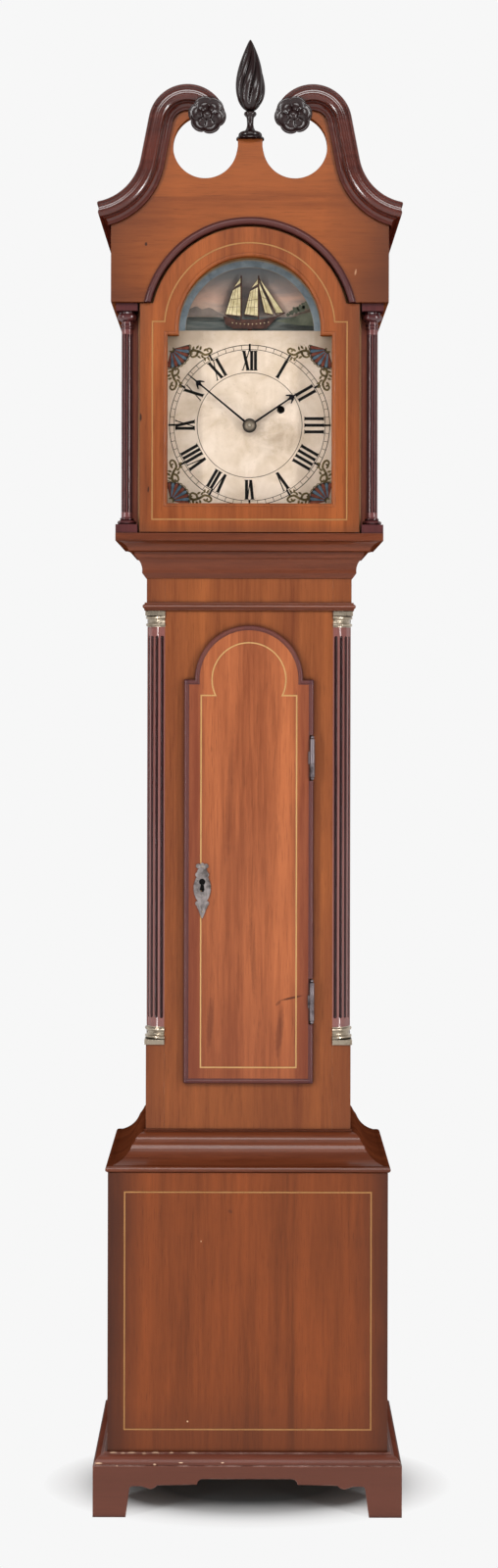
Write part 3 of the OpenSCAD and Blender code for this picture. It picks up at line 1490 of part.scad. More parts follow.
// Cylindrical weight with its eye and the stirrup that carries the pulley
module weight() {
    y = line_y;
    cheek = pulley_t / 2 + 0.5;
    color(STEEL) {
        translate([pulley_x, y, weight_z]) rotate_extrude(convexity = 4) polygon(concat(
            [[0, 0], [weight_r - 2, 0], [weight_r, 2], [weight_r, weight_h]],
            arc([weight_r - 6, weight_h], 6, 0, 70, 4),
            [[7, weight_h + 11], [5, weight_h + 16], [0, weight_h + 16]]));
        block([pulley_x - 3, pulley_x + 3], [y - cheek - 1.6, y + cheek + 1.6],
            [weight_top_z + 15, pulley_z - pulley_r - 2]);
        for (s = [-1, 1]) block([pulley_x - 3, pulley_x + 3],
            [y + s * (cheek + 0.8) - 0.8, y + s * (cheek + 0.8) + 0.8],
            [pulley_z - pulley_r - 3, pulley_z + 4]);
        bar([pulley_x, pulley_z], arbor_r, y - cheek - 2.4, y + cheek + 2.4);
    }
}

module weight_pulley() {
    t = pulley_t;
    color(BRASS) turned([pulley_x, pulley_z], line_y - t / 2) polygon(concat(
        [[arbor_r + fit, 0], [pulley_r, 0], [pulley_r, 0.9]],
        arc([pulley_r, t / 2], pulley_r - groove_r, 250, 110, 6),
        [[pulley_r, t - 0.9], [pulley_r, t], [arbor_r + fit, t]]));
}

// Gut line: down from the barrel, round under the pulley and up to the seatboard
module gut_line() {
    r = gut_d / 2;
    far_x = line_x + 2 * strand_r;
    knot_z = seatboard_z + 2;
    color("#cdb98a") {
        translate([line_x, line_y, pulley_z]) cylinder(r = r, h = GREAT[1] - pulley_z, $fn = 16);
        translate([far_x, line_y, pulley_z]) cylinder(r = r, h = knot_z - pulley_z, $fn = 16);
        translate([pulley_x, line_y, pulley_z]) rotate([90, 0, 0]) rotate([0, 0, 180])
            rotate_extrude(angle = 180, $fn = 64) translate([strand_r, 0]) circle(r, $fn = 16);
        translate([far_x, line_y, seatboard_z]) cylinder(r = 2.4, h = 2.5, $fn = 24);
    }
}

bracket_plinth();
glue_blocks();
base_front();
base_stringing();
base_sides();
base_floor();
waist_moulding();
trunk_frame();
trunk_corner_blocks();
trunk_sides();
quarter_columns();
column_brasses();
trunk_astragal();
seat_moulding();
backboard();
seatboard();
hinge_case_leaves();
trunk_door();
trunk_door_stringing();
escutcheon();
door_lock();
hinge_door_leaves();
lock_bolt();
hood_base_frame();
hood_posts();
hood_sides();
hood_roof();
dial_mask();
tympanum();
swan_necks();
rosettes();
finial();
hood_columns();
hood_door();
hood_door_stringing();
hood_door_glass();
hood_door_pivots();
front_plate();
back_plate();
plate_pillars();
back_cock();
dial_plate();
scenery_plate();
centre_arbor();
minute_hand();
hour_wheel();
hour_hand();
minute_wheel();
great_wheel();
barrel();
third_wheel();
escape_wheel();
anchor();
ship();
pendulum_rod();
pendulum_bob();
rating_nut();
weight();
weight_pulley();
gut_line();
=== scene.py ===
"""Dresses the grandmother clock: its woods, metals, painted dial and studio.

Each kind of finish and each sub-assembly of the clock is a class. Lengths are in
metres, with X to the right, Y back into the case and Z up from the floor.
"""

from __future__ import annotations

import logging
import math
from dataclasses import dataclass, field
from enum import Enum
from typing import Any, Callable, Iterable, Sequence

import bmesh
import bpy
from mathutils import Matrix, Vector

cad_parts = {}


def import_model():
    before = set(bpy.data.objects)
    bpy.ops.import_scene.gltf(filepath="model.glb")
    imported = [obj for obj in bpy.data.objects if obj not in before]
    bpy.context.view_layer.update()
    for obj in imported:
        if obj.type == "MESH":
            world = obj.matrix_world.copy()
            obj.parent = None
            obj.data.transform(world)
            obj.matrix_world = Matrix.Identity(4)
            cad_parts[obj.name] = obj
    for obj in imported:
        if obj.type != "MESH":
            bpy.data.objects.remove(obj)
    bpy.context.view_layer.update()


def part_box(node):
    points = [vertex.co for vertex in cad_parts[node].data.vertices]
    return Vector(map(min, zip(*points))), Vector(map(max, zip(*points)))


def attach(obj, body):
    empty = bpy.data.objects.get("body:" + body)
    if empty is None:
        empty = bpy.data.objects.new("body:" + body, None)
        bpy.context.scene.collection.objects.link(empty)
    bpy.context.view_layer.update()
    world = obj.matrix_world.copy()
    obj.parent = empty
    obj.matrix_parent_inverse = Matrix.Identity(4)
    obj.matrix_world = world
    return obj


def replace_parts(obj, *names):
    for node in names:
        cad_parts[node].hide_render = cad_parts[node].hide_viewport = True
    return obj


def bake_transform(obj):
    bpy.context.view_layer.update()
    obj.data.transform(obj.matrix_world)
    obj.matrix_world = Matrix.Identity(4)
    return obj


LOG = logging.getLogger("clock")
Point = tuple[float, float]
Place = tuple[float, float, float]
Face = tuple[int, ...]
Colour = tuple[float, float, float, float]
Socket = bpy.types.NodeSocket

MM = 0.001
BLACK: Colour = (0.0, 0.0, 0.0, 1.0)
# The way that the clock faces, and the heights and places that two or more finishes share.
FRONT: Place = (0.0, -1.0, 0.0)
HANDS_Z = 1.238
WINDING_HOLE: Point = (0.03595, 1.25712)
HORIZON = 1.3655


def paint(code: str) -> Colour:
    """Turns a six-digit colour code into a linear colour.

    Args:
        code: Red, green and blue as they look on a screen.

    Returns:
        The colour that a shader takes.
    """
    parts = [int(code[i:i + 2], 16) / 255 for i in (0, 2, 4)]
    flat = [v / 12.92 if v <= 0.04045 else ((v + 0.055) / 1.055) ** 2.4 for v in parts]
    return (flat[0], flat[1], flat[2], 1.0)


def between(a: Colour, b: Colour, share: float) -> Colour:
    """Returns the colour that lies the given share of the way from a to b."""
    return tuple(p + (q - p) * share for p, q in zip(a, b))


class Graph:
    """A node tree with short calls for adding and joining nodes."""

    def __init__(self, tree: bpy.types.NodeTree) -> None:
        """Takes the tree that the calls fill."""
        self.tree = tree

    def feed(self, socket: Socket, value: Any) -> None:
        """Gives a socket a link or a plain value.

        Args:
            socket: The input that is fed.
            value: Another node's output, or the value itself.
        """
        if isinstance(value, Socket):
            self.tree.links.new(value, socket)
        else:
            socket.default_value = value

    def add(self, kind: str, values: dict[Any, Any] | None = None, **settings: Any) -> bpy.types.Node:
        """Adds a node.

        Args:
            kind: The node's type.
            values: Links or values by input name or number.
            **settings: The node's own settings.

        Returns:
            The new node.
        """
        node = self.tree.nodes.new(kind)
        for key, value in settings.items():
            setattr(node, key, value)
        for key, value in (values or {}).items():
            self.feed(node.inputs[key], value)
        return node

    def sum(self, how: str, a: Any, b: Any = 0.0) -> Socket:
        """Returns a and b put together by the named sum."""
        return self.add("ShaderNodeMath", {0: a, 1: b}, operation=how).outputs[0]

    def span(self, value: Any, low: float, high: float, start: float = 0.0,
             end: float = 1.0) -> Socket:
        """Turns one stretch of values into another and holds what lies outside it.

        Args:
            value: The value that is read.
            low: Where the stretch starts.
            high: Where it ends.
            start: What the start is turned into.
            end: What the end is turned into.

        Returns:
            The new value.
        """
        return self.add("ShaderNodeMapRange", {
            "Value": value, "From Min": low, "From Max": high, "To Min": start,
            "To Max": end}).outputs[0]

    def axes(self, place: Any) -> tuple[Socket, Socket, Socket]:
        """Returns a place's X, Y and Z."""
        return tuple(self.add("ShaderNodeSeparateXYZ", {0: place}).outputs)


class Surface(Graph):
    """A material under construction, with the patterns that the finishes share.

    SPOT_CORE is the share of a spot's radius that is full. EDGE_TURN says how far the
    rounded normal turns from the plain one on an edge, and SHUT_IN how open a place is,
    each where its mask starts and where it is full.
    """

    SPOT_CORE = 0.55
    EDGE_TURN = (0.95, 0.7)
    SHUT_IN = (0.92, 0.35)

    def __init__(self, name: str) -> None:
        """Starts a material from one shader.

        Args:
            name: The material's name.
        """
        self.material = bpy.data.materials.new(name)
        self.material.use_nodes = True
        super().__init__(self.material.node_tree)
        self.tree.nodes.clear()
        self.shader = self.add("ShaderNodeBsdfPrincipled")
        self.add("ShaderNodeOutputMaterial", {"Surface": self.shader.outputs[0]})
        self.place = self.add("ShaderNodeTexCoord").outputs["Object"]

    def stretch(self, scale: Sequence[float], shift: Sequence[float] = (0, 0, 0),
                turn: Sequence[float] = (0, 0, 0)) -> Socket:
        """Returns the place on the piece, scaled, turned and shifted."""
        return self.add("ShaderNodeMapping", {
            "Vector": self.place, "Scale": scale, "Location": shift, "Rotation": turn}).outputs[0]

    def noise(self, place: Socket, scale: float, detail: float = 3.0,
              rough: float = 0.5, bend: float = 0.0) -> Socket:
        """Returns a cloudy pattern from 0 to 1.

        Args:
            place: Where on the piece the pattern is read.
            scale: Clouds to the metre.
            detail: Levels of finer clouds.
            rough: Strength of the finer clouds.
            bend: How far the clouds are pulled about.

        Returns:
            The pattern's output.
        """
        return self.add("ShaderNodeTexNoise", {
            "Vector": place, "Scale": scale, "Detail": detail, "Roughness": rough,
            "Distortion": bend}).outputs[0]

    def mix(self, share: Any, a: Any, b: Any) -> Socket:
        """Returns two colours mixed by a share."""
        return self.add("ShaderNodeMix", {0: share, 6: a, 7: b}, data_type="RGBA").outputs[2]

    def away(self, a: Socket, b: Socket) -> Socket:
        """Returns how far off a place is that lies a and b away along two axes."""
        squares = (self.sum("MULTIPLY", v, v) for v in (a, b))
        return self.sum("SQRT", self.sum("ADD", *squares))

    def ramp(self, value: Any, stops: Sequence[tuple[float, Colour]]) -> Socket:
        """Reads a ramp of colours.

        Args:
            value: Where on the ramp it is read.
            stops: The ramp's places and their colours.

        Returns:
            The colour at the value.
        """
        node = self.add("ShaderNodeValToRGB", {0: value})
        band = node.color_ramp
        while len(band.elements) < len(stops):
            band.elements.new(1.0)
        for element, (at, colour) in zip(band.elements, stops):
            element.position = at
            element.color = colour
        return node.outputs[0]

    def spot(self, x: float, z: float, wide: float, tall: float, lean: float = 0.0,
             wobble: float = 0.0) -> Socket:
        """Returns an oval spot on the front: 1 in its middle and 0 outside.

        Args:
            x: The spot's place across the front.
            z: Its height.
            wide: Half its width.
            tall: Half its height.
            lean: Its turn in radians.
            wobble: How ragged its rim is.

        Returns:
            The spot's output.
        """
        local = self.add("ShaderNodeMapping", {
            "Vector": self.place, "Location": (x, 0, z), "Rotation": (0, lean, 0),
            "Scale": (wide, 1000.0, tall)}, vector_type="TEXTURE").outputs[0]
        far = self.add("ShaderNodeVectorMath", {0: local}, operation="LENGTH").outputs["Value"]
        if wobble:
            ragged = self.noise(self.place, 1.2 / min(wide, tall), 3.0)
            far = self.sum("ADD", far, self.sum("MULTIPLY", ragged, wobble))
        return self.span(far, self.SPOT_CORE + wobble / 2, 1.0 + wobble / 2, 1.0, 0.0)

    def edges(self, reach: float) -> tuple[Socket, Socket]:
        """Finds the sharp edges of a piece.

        Args:
            reach: How far from an edge its rounding goes.

        Returns:
            A mask that is 1 on an edge, and the normal rounded there.
        """
        rounded = self.add("ShaderNodeBevel", {"Radius": reach}, samples=4).outputs[0]
        plain = self.add("ShaderNodeNewGeometry").outputs["True Normal"]
        dot = self.add("ShaderNodeVectorMath", {0: rounded, 1: plain},
                       operation="DOT_PRODUCT").outputs["Value"]
        return self.span(dot, *self.EDGE_TURN), rounded

    def hollow_shade_and_grime(self, reach: float, most: float = 0.85) -> Socket:
        """Returns a mask of hollows and corners for painted shade, which also stands for dirt there."""
        shut = self.add("ShaderNodeAmbientOcclusion", {"Distance": reach}, samples=6).outputs["AO"]
        return self.span(shut, *self.SHUT_IN, 0.0, most)

    def bump(self, height: Any, depth: float, normal: Any = None) -> Socket:
        """Makes a pattern of heights stand out.

        Args:
            height: The pattern, from 0 to 1.
            depth: How deep it goes.
            normal: The normal that it starts from, where that isn't the piece's own.

        Returns:
            The normal that follows the pattern.
        """
        values: dict[Any, Any] = {"Height": height, "Strength": 1.0, "Distance": depth}
        if normal is not None:
            values["Normal"] = normal
        return self.add("ShaderNodeBump", values).outputs[0]

    def done(self, **sockets: Any) -> bpy.types.Material:
        """Sets the shader's sockets and returns the finished material.

        Args:
            **sockets: Links or values by socket name, with _ for a blank.

        Returns:
            The material.
        """
        for name, value in sockets.items():
            wanted = name.replace("_", " ").lower()
            socket = next(s for s in self.shader.inputs if s.name.lower() == wanted)
            self.feed(socket, value)
        return self.material


class Grain(Enum):
    """The axis that a board's grain runs along."""

    ACROSS = 0
    UPRIGHT = 2


class Way(Enum):
    """How a band of another shade lies on a board."""

    ACROSS = "both sides, from a distance off the middle line"
    UP = "from a height"
    ROUND = "from a distance off a centre"


@dataclass(frozen=True)
class Flaw:
    """A knot, nail hole, chip or dark streak in a board, or a spot of painted shade.

    Attributes:
        x: Its place across the front.
        z: Its height.
        wide: Half its width.
        tall: Half its height.
        lean: Its turn in radians.
        shade: Its colour.
        strength: How much of the board's own colour it covers.
    """

    x: float
    z: float
    wide: float
    tall: float
    lean: float = 0.0
    shade: str = "2a140c"
    strength: float = 0.9


@dataclass(frozen=True)
class Dusk:
    """A band of a board in another colour, past a line or an arc; on some boards it is painted shade.

    Attributes:
        start: Where it starts to show, in the measure that its way names.
        end: Where it is full, which may be more or less than the start.
        shade: Its colour.
        strength: How much of the board's own colour it covers.
        way: What it is measured from.
        centre_z: The height of the centre, for a band that goes round one.
        floor: The height that it ends at below.
    """

    start: float
    end: float
    shade: str
    strength: float = 0.5
    way: Way = Way.ACROSS
    centre_z: float = 0.0
    floor: float = -1.0

    SOFT = 0.004
    UNEVEN = 0.8

    def mask(self, s: Surface, wander: Socket) -> Socket:
        """Finds where the band lies.

        Args:
            s: The material that it is part of.
            wander: A pattern that makes the border of a soft band uneven.

        Returns:
            The band's strength over the piece.
        """
        x, _, z = s.axes(s.place)
        if self.way is Way.ACROSS:
            far = s.sum("ABSOLUTE", x)
        elif self.way is Way.UP:
            far = z
        else:
            far = s.away(x, s.sum("SUBTRACT", z, self.centre_z))
        if abs(self.end - self.start) > self.SOFT:
            far = s.sum("ADD", far, s.sum("MULTIPLY", s.sum("SUBTRACT", wander, 0.5),
                                          (self.end - self.start) * self.UNEVEN))
        above = s.span(z, self.floor - 0.0002, self.floor)
        return s.sum("MULTIPLY", s.span(far, self.start, self.end, 0.0, self.strength), above)


@dataclass(frozen=True)
class Wood:
    """A polished or plain timber with its figure, pores, patina, worn edges and painted shade.

    The constants that end in STRETCH are shares of a pattern's scale along the grain,
    those that end in SCALE are a pattern's clouds to the metre, and those that end in
    SPAN are the values that a pattern's mask runs between.

    Attributes:
        name: The material's name.
        light: Its palest colour.
        dark: Its darkest colour.
        grain: The axis that its grain runs along.
        figure: How strong its bands and fibres are.
        roughness: How dull its surface is.
        coat: How much polish it has.
        wear_and_highlight: The colour of worn edges, and of painted highlight on fluted reeds.
        wear_share: How much they show.
        edge: How far from an edge they reach, or 0 for none.
        seed: Where in the patterns it is cut from.
        flaws: Its knots, holes, chips and streaks, and spots of painted shade.
        dusks: Its bands of another colour, some of them painted shade.
        fluted: For a fluted column, its axis off the middle line and along Y, and its
            radii at the bottom and the top of a flute.
        pore: How open its pores are.
        gloss: How dull the polish itself is.
    """

    GRAIN_STRETCH = 0.05
    PORE_STRETCH = 0.035
    BAND_SCALE = 26.0
    FIBRE_SCALE = 190.0
    PORE_SCALE = 1150.0
    CLOUD_SCALE = 6.0
    RUB_SCALE = 55.0
    CLOUD_SPAN = (0.38, 0.68)
    PORE_SPAN = (0.58, 0.72)
    RUB_SPAN = (0.42, 0.66)
    FACING_SPAN = (0.42, 0.74)
    BAND_SHARE = 0.6
    RAMP_REACH = 0.19
    CREVICE = 0.005
    RELIEF = 0.00009
    SHINE = 0.22
    # Painted shade at the bottom of a column's flutes.
    FLUTE_PAINTED_SHADE = "160a0b"

    name: str
    light: str
    dark: str
    grain: Grain = Grain.UPRIGHT
    figure: float = 1.0
    roughness: float = 0.38
    coat: float = 0.12
    wear_and_highlight: str = "b98a6c"
    wear_share: float = 0.35
    edge: float = 0.0011
    seed: float = 0.0
    flaws: tuple[Flaw, ...] = ()
    dusks: tuple[Dusk, ...] = ()
    fluted: tuple[float, float, float, float] | None = None
    pore: float = 1.0
    gloss: float = 0.11

    def figured(self, s: Surface) -> tuple[Socket, Socket, Socket, Socket]:
        """Lays the timber's bands, fibres, clouds and pores.

        Args:
            s: The material that they are part of.

        Returns:
            The colour, and the patterns of the fibres, pores and clouds.
        """
        shift = (self.seed, self.seed * 1.7, self.seed * 0.6)
        along = [1.0, 1.0, 1.0]
        along[self.grain.value] = self.GRAIN_STRETCH
        board = s.stretch(along, shift)
        bands = s.noise(board, self.BAND_SCALE, 3.0, 0.5, 0.6)
        fibre = s.noise(board, self.FIBRE_SCALE, 5.0, 0.7, 0.3)
        along[self.grain.value] = self.PORE_STRETCH
        pores = s.noise(s.stretch(along, shift), self.PORE_SCALE, 2.0, 0.6)
        cloud = s.noise(s.stretch((1, 1, 1), shift), self.CLOUD_SCALE, 3.0, 0.55)
        light, dark = paint(self.light), paint(self.dark)
        tone = s.sum("ADD", s.sum("MULTIPLY", bands, self.BAND_SHARE),
                     s.sum("MULTIPLY", fibre, 1.0 - self.BAND_SHARE))
        reach = self.RAMP_REACH / self.figure
        colour = s.ramp(tone, [(0.5 - reach, dark), (0.5, between(dark, light, 0.55)),
                               (0.5 + reach, light)])
        colour = s.mix(s.span(cloud, *self.CLOUD_SPAN, 0.0, 0.35), colour, between(dark, light, 0.15))
        colour = s.mix(s.span(pores, *self.PORE_SPAN, 0.0, 0.5 * self.pore), colour,
                       between(dark, BLACK, 0.45))
        return colour, fibre, pores, cloud

    def aged(self, s: Surface, colour: Socket, cloud: Socket) -> tuple[Socket, Socket | None]:
        """Lays the bands and the flaws, some of them painted shade, and rubs the edges.

        Args:
            s: The material that they are part of.
            colour: The wood's colour so far.
            cloud: The pattern that makes the bands uneven.

        Returns:
            The colour, and the normal rounded at the edges if they are rubbed.
        """
        for dusk in self.dusks:
            colour = s.mix(dusk.mask(s, cloud), colour, paint(dusk.shade))
        for flaw in self.flaws:
            mask = s.spot(flaw.x, flaw.z, flaw.wide, flaw.tall, flaw.lean, 0.5)
            colour = s.mix(s.sum("MULTIPLY", mask, flaw.strength), colour, paint(flaw.shade))
        if not self.edge:
            return colour, None
        edge, rounded = s.edges(self.edge)
        patchy = s.noise(s.place, self.RUB_SCALE, 4.0, 0.65)
        rubbed = s.sum("MULTIPLY", edge, s.span(patchy, *self.RUB_SPAN))
        return s.mix(s.sum("MULTIPLY", rubbed, self.wear_share), colour, paint(self.wear_and_highlight)), rounded

    def build(self) -> bpy.types.Material:
        """Makes the timber's material.

        Returns:
            The material.
        """
        s = Surface(self.name)
        colour, fibre, pores, cloud = self.figured(s)
        colour, rounded = self.aged(s, colour, cloud)
        polish: Any = 1.0
        if self.fluted:
            colour, polish = self.flutes(s, colour)
        # Painted shade in hollows and corners, which also stands for dirt and dark polish there.
        colour = s.mix(s.hollow_shade_and_grime(self.CREVICE), colour, between(paint(self.dark), BLACK, 0.75))
        rough = s.span(s.sum("ADD", fibre, cloud), 0.7, 1.3, self.roughness - 0.05,
                       self.roughness + 0.09)
        height = s.sum("ADD", s.sum("MULTIPLY", fibre, 0.5), s.sum("MULTIPLY", pores, -0.5))
        facing = s.add("ShaderNodeLayerWeight", {"Blend": 0.5}).outputs["Facing"]
        fade = s.sum("MULTIPLY", s.span(facing, *self.FACING_SPAN, 1.0, 0.0), polish)
        return s.done(base_color=colour, roughness=rough,
                      coat_weight=s.sum("MULTIPLY", fade, self.coat), coat_roughness=self.gloss,
                      specular_ior_level=s.sum("MULTIPLY", fade, self.SHINE),
                      normal=s.bump(height, self.RELIEF * self.pore * (1 - 0.8 * self.coat), rounded))

    def flutes(self, s: Surface, colour: Socket) -> tuple[Socket, Socket]:
        """Paints shade in a column's flutes, and paints its reeds paler for wear and as a highlight.

        Args:
            s: The material that it is part of.
            colour: The wood's colour so far.

        Returns:
            The column's colour, and how much of its polish each place keeps.
        """
        axis_x, axis_y, bottom, top = self.fluted
        depth = top - bottom
        x, y, _ = s.axes(s.place)
        far = s.away(s.sum("SUBTRACT", s.sum("ABSOLUTE", x), axis_x), s.sum("SUBTRACT", y, axis_y))
        # Painted shade, deepest at the bottom of each flute.
        painted_flute_shade = s.span(far, bottom + depth * 0.75, bottom, 0.0, 0.9)
        colour = s.mix(painted_flute_shade, colour, paint(self.FLUTE_PAINTED_SHADE))
        # The reed tops painted paler, for their wear and as a painted highlight.
        rubbed = s.span(far, top - depth * 0.22, top - 0.0001, 0.0, 0.4)
        past = s.span(far, top + 0.0002, top + 0.0004, 1.0, 0.0)
        colour = s.mix(s.sum("MULTIPLY", rubbed, past), colour, paint(self.wear_and_highlight))
        return colour, s.sum("SUBTRACT", 1.0, painted_flute_shade)


class Timber(Enum):
    """The woods of the case, by where they are used."""

    PANEL = Wood("mahogany_panel", "915129", "663219", figure=1.4, seed=0.3, dusks=(
        Dusk(0.092, 0.108, "5a2c1a", 0.4),))
    BASE = Wood("mahogany_base", "8b451e", "612e11", figure=1.3, seed=1.9, flaws=(
        Flaw(-0.020, 0.342, 0.0035, 0.0024, 0.5, "4a2414", 0.5),
        Flaw(-0.053, 0.308, 0.0007, 0.0009, 0.0, "d8b48c", 0.8),
        Flaw(-0.068, 0.1035, 0.0011, 0.0012, 0.0, "d8b48c", 0.9)), dusks=(
            Dusk(0.118, 0.158, "3c1c11", 0.9), Dusk(0.14, 0.09, "4e2616", 0.35, Way.UP)))
    # Painted shade darkens the pediment towards its sides and bottom; the ring darkens the arch's bead.
    PEDIMENT = Wood("mahogany_pediment", "9a5223", "6f3615", Grain.ACROSS, 1.2, seed=2.6, flaws=(
        Flaw(-0.1180, 1.4405, 0.0019, 0.0026),
        Flaw(0.120, 1.409, 0.0012, 0.0042, 0.2, "d9a983", 0.4)), dusks=(
            Dusk(0.080, 0.162, "4a2414", 0.85), Dusk(1.40, 1.375, "5c2f1b", 0.3, Way.UP),
            Dusk(0.1236, 0.1230, "43242a", 0.85, Way.ROUND, 1.3483)))
    DOOR = Wood("mahogany_door", "b0653d", "7e4226", figure=1.8, seed=4.1, flaws=(
        Flaw(0.0500, 0.5800, 0.0150, 0.0016, -0.22, "3f1c12", 0.8),
        Flaw(0.0345, 0.5740, 0.0050, 0.0020, -0.75, "4f2417", 0.5),
        Flaw(0.0360, 0.5400, 0.0050, 0.0330, 0.10, "4f2417", 0.45),
        Flaw(-0.0440, 0.5500, 0.0040, 0.0360, 0.06, "4f2417", 0.45),
        Flaw(0.0050, 0.6300, 0.0040, 0.0600, -0.05, "4f2417", 0.3),
        Flaw(-0.0220, 0.8100, 0.0050, 0.0800, 0.04, "4f2417", 0.25),
        # Painted shade on the walls of the keyhole through the door.
        Flaw(-0.0533, 0.7090, 0.0060, 0.0130, 0.0, "080606", 1.0)), dusks=(
            Dusk(0.049, 0.0600, "632c20", 0.55), Dusk(0.62, 0.49, "6a3220", 0.3, Way.UP),
            Dusk(0.0686, 0.0689, "4a272b", 0.8), Dusk(0.4874, 0.4870, "4a272b", 0.8, Way.UP),
            Dusk(0.0566, 0.0569, "4a272b", 0.8, Way.ROUND, 0.9459, 0.9403)))
    # Painted shade darkens the hood door beside the posts; it also darkens towards its bottom.
    HOOD_DOOR = Wood("mahogany_hood_door", "9b5326", "6f3617", figure=1.4, seed=5.4, flaws=(
        Flaw(-0.1240, 1.2440, 0.0018, 0.0052, 0.0, "24130c", 0.9),
        Flaw(-0.1150, 1.1620, 0.0012, 0.0042, 0.1, "24130c", 0.8)), dusks=(
            Dusk(0.108, 0.126, "57301d", 0.55), Dusk(1.126, 1.116, "57301d", 0.4, Way.UP)))
    SIDE = Wood("mahogany_side", "8c4f2e", "62341e", figure=1.3, seed=7.7)
    MOULDING = Wood("dark_moulding", "763c23", "4d2313", Grain.ACROSS, 1.1, 0.30, 0.22,
                    "b57f76", 0.15, 0.0012, 8.8)
    NECK = Wood("neck_moulding", "5c2417", "31100c", Grain.ACROSS, 1.0, 0.2, 0.9,
                "a97a70", 0.12, 0.0, 8.1, pore=0.0, gloss=0.13)
    # Painted light: a light colour as the cap's highlight, and painted shade below the cap.
    PLINTH = Wood("dark_plinth", "7b4335", "562d20", Grain.ACROSS, 1.0, 0.34, 0.3,
                  "d9b3a6", 0.85, 0.0018, 9.3, flaws=tuple(
                      Flaw(x * MM, z * MM, w * MM, h * MM, 0.0, "d9b394", 0.85) for x, z, w, h in (
                          (-152, 69, 5, .8), (-141, 68.7, 3, .9), (-131, 69, 6, .7), (-117, 68.6, 3, 1.0),
                          (-104, 69, 5, .8), (-86, 69, 3, .7), (-62, 69, 6, .6), (-104.6, 59, 2, 1.2),
                          (-75, 61, 3, .7), (-28, 61, 2, .8), (-168, 60.3, 5, 1.2), (-147, 58, 1, .8))),
                  dusks=(Dusk(0.0585, 0.0555, "5a2f20", 0.72, Way.UP),))
    # The posts' colour is painted light to stand in for the light on them behind the columns.
    POST = Wood("dark_post", "c36f57", "864536", Grain.UPRIGHT, 1.0, 0.26, 0.4,
                "a97a70", 0.2, 0.0010, 6.6)
    TURNED = Wood("dark_turning", "5f2f2e", "35191c", Grain.UPRIGHT, 0.9, 0.13, 1.0,
                  "8a5654", 0.05, 0.0, 10.1, fluted=(0.1400, -0.0833, 0.00555, 0.00645),
                  pore=0.1)
    QUARTER = Wood("quarter_turning", "6c3834", "3c1f21", Grain.UPRIGHT, 0.9, 0.16, 0.8,
                   "a06a62", 0.05, 0.0, 10.7, fluted=(0.0969, -0.0417, 0.0194, 0.0211),
                   pore=0.1)
    CARVED = Wood("dark_carving", "28100f", "120606", Grain.UPRIGHT, 0.8, 0.28, 0.62,
                  "7a5658", 0.08, 0.0, 11.2, pore=0.0, gloss=0.19)
    CARCASE = Wood("old_pine", "ad7f56", "80583b", Grain.UPRIGHT, 1.1, 0.75, 0.0,
                   "c7a67c", 0.35, 0.0012, 12.5)
    BRIGHT = Wood("door_stringing", "c49b68", "a97e49", Grain.UPRIGHT, 0.5, 0.4, 0.2,
                  "d9b48a", 0.2, 0.0003, 13.5)
    STRINGING = Wood("holly_stringing", "b0804c", "8a5c32", Grain.UPRIGHT, 0.5, 0.4, 0.2,
                     "d9b48a", 0.2, 0.0003, 13.0)


@dataclass(frozen=True)
class Metal:
    """A metal that has dulled unevenly, with fine scratches and painted shade in its hollows.

    Attributes:
        name: The material's name.
        bright: Its colour where it is bright.
        dull: Its colour where it has dulled.
        cover: How much of it has dulled.
        roughness: How rough it is where it is bright.
        metallic: How much of it is bare metal.
        scratch: How deep its scratches go.
        seed: Where in the patterns it is cut from.
        round_patch: A round patch's X, height, radius and colour, as a collet or as painted shade.
    """

    CLOUD_SCALE = 60.0
    SCRATCH_SCALE = 900.0
    SCRATCH_STRETCH = 0.08
    EDGE = 0.0005
    CREVICE = 0.003

    name: str
    bright: str
    dull: str
    cover: float = 0.5
    roughness: float = 0.3
    metallic: float = 1.0
    scratch: float = 0.00004
    seed: float = 0.0
    round_patch: tuple[float, float, float, str] | None = None

    def build(self) -> bpy.types.Material:
        """Makes the metal's material.

        Returns:
            The material.
        """
        s = Surface(self.name)
        shift = (self.seed, self.seed, self.seed)
        cloud = s.noise(s.stretch((1, 1, 1), shift), self.CLOUD_SCALE, 5.0, 0.65, 0.4)
        fine = s.noise(s.stretch((1, 1, self.SCRATCH_STRETCH), shift), self.SCRATCH_SCALE, 3.0, 0.6)
        dulled = s.span(cloud, 0.66 - self.cover * 0.4, 0.84 - self.cover * 0.4)
        colour = s.mix(dulled, paint(self.bright), paint(self.dull))
        colour = s.mix(s.span(fine, 0.5, 0.7, 0.0, 0.25), colour, paint(self.dull))
        edge, rounded = s.edges(self.EDGE)
        colour = s.mix(s.sum("MULTIPLY", edge, 0.5), colour, paint(self.bright))
        # A round patch of another colour: the hands' collet, and painted shade round the winding hole.
        if self.round_patch:
            x, z, radius, shade = self.round_patch
            colour = s.mix(s.spot(x, z, radius, radius), colour, paint(shade))
        # Painted shade in hollows and corners, which also stands for dirt there.
        colour = s.mix(s.hollow_shade_and_grime(self.CREVICE, 0.9), colour,
                       between(paint(self.dull), BLACK, 0.8))
        rough = s.span(cloud, 0.3, 0.75, self.roughness, self.roughness + 0.28)
        return s.done(base_color=colour, metallic=self.metallic, roughness=rough,
                      normal=s.bump(fine, self.scratch, rounded))


CAST_BRASS = ("d9b56c", "a5803f", 0.35, 0.26)


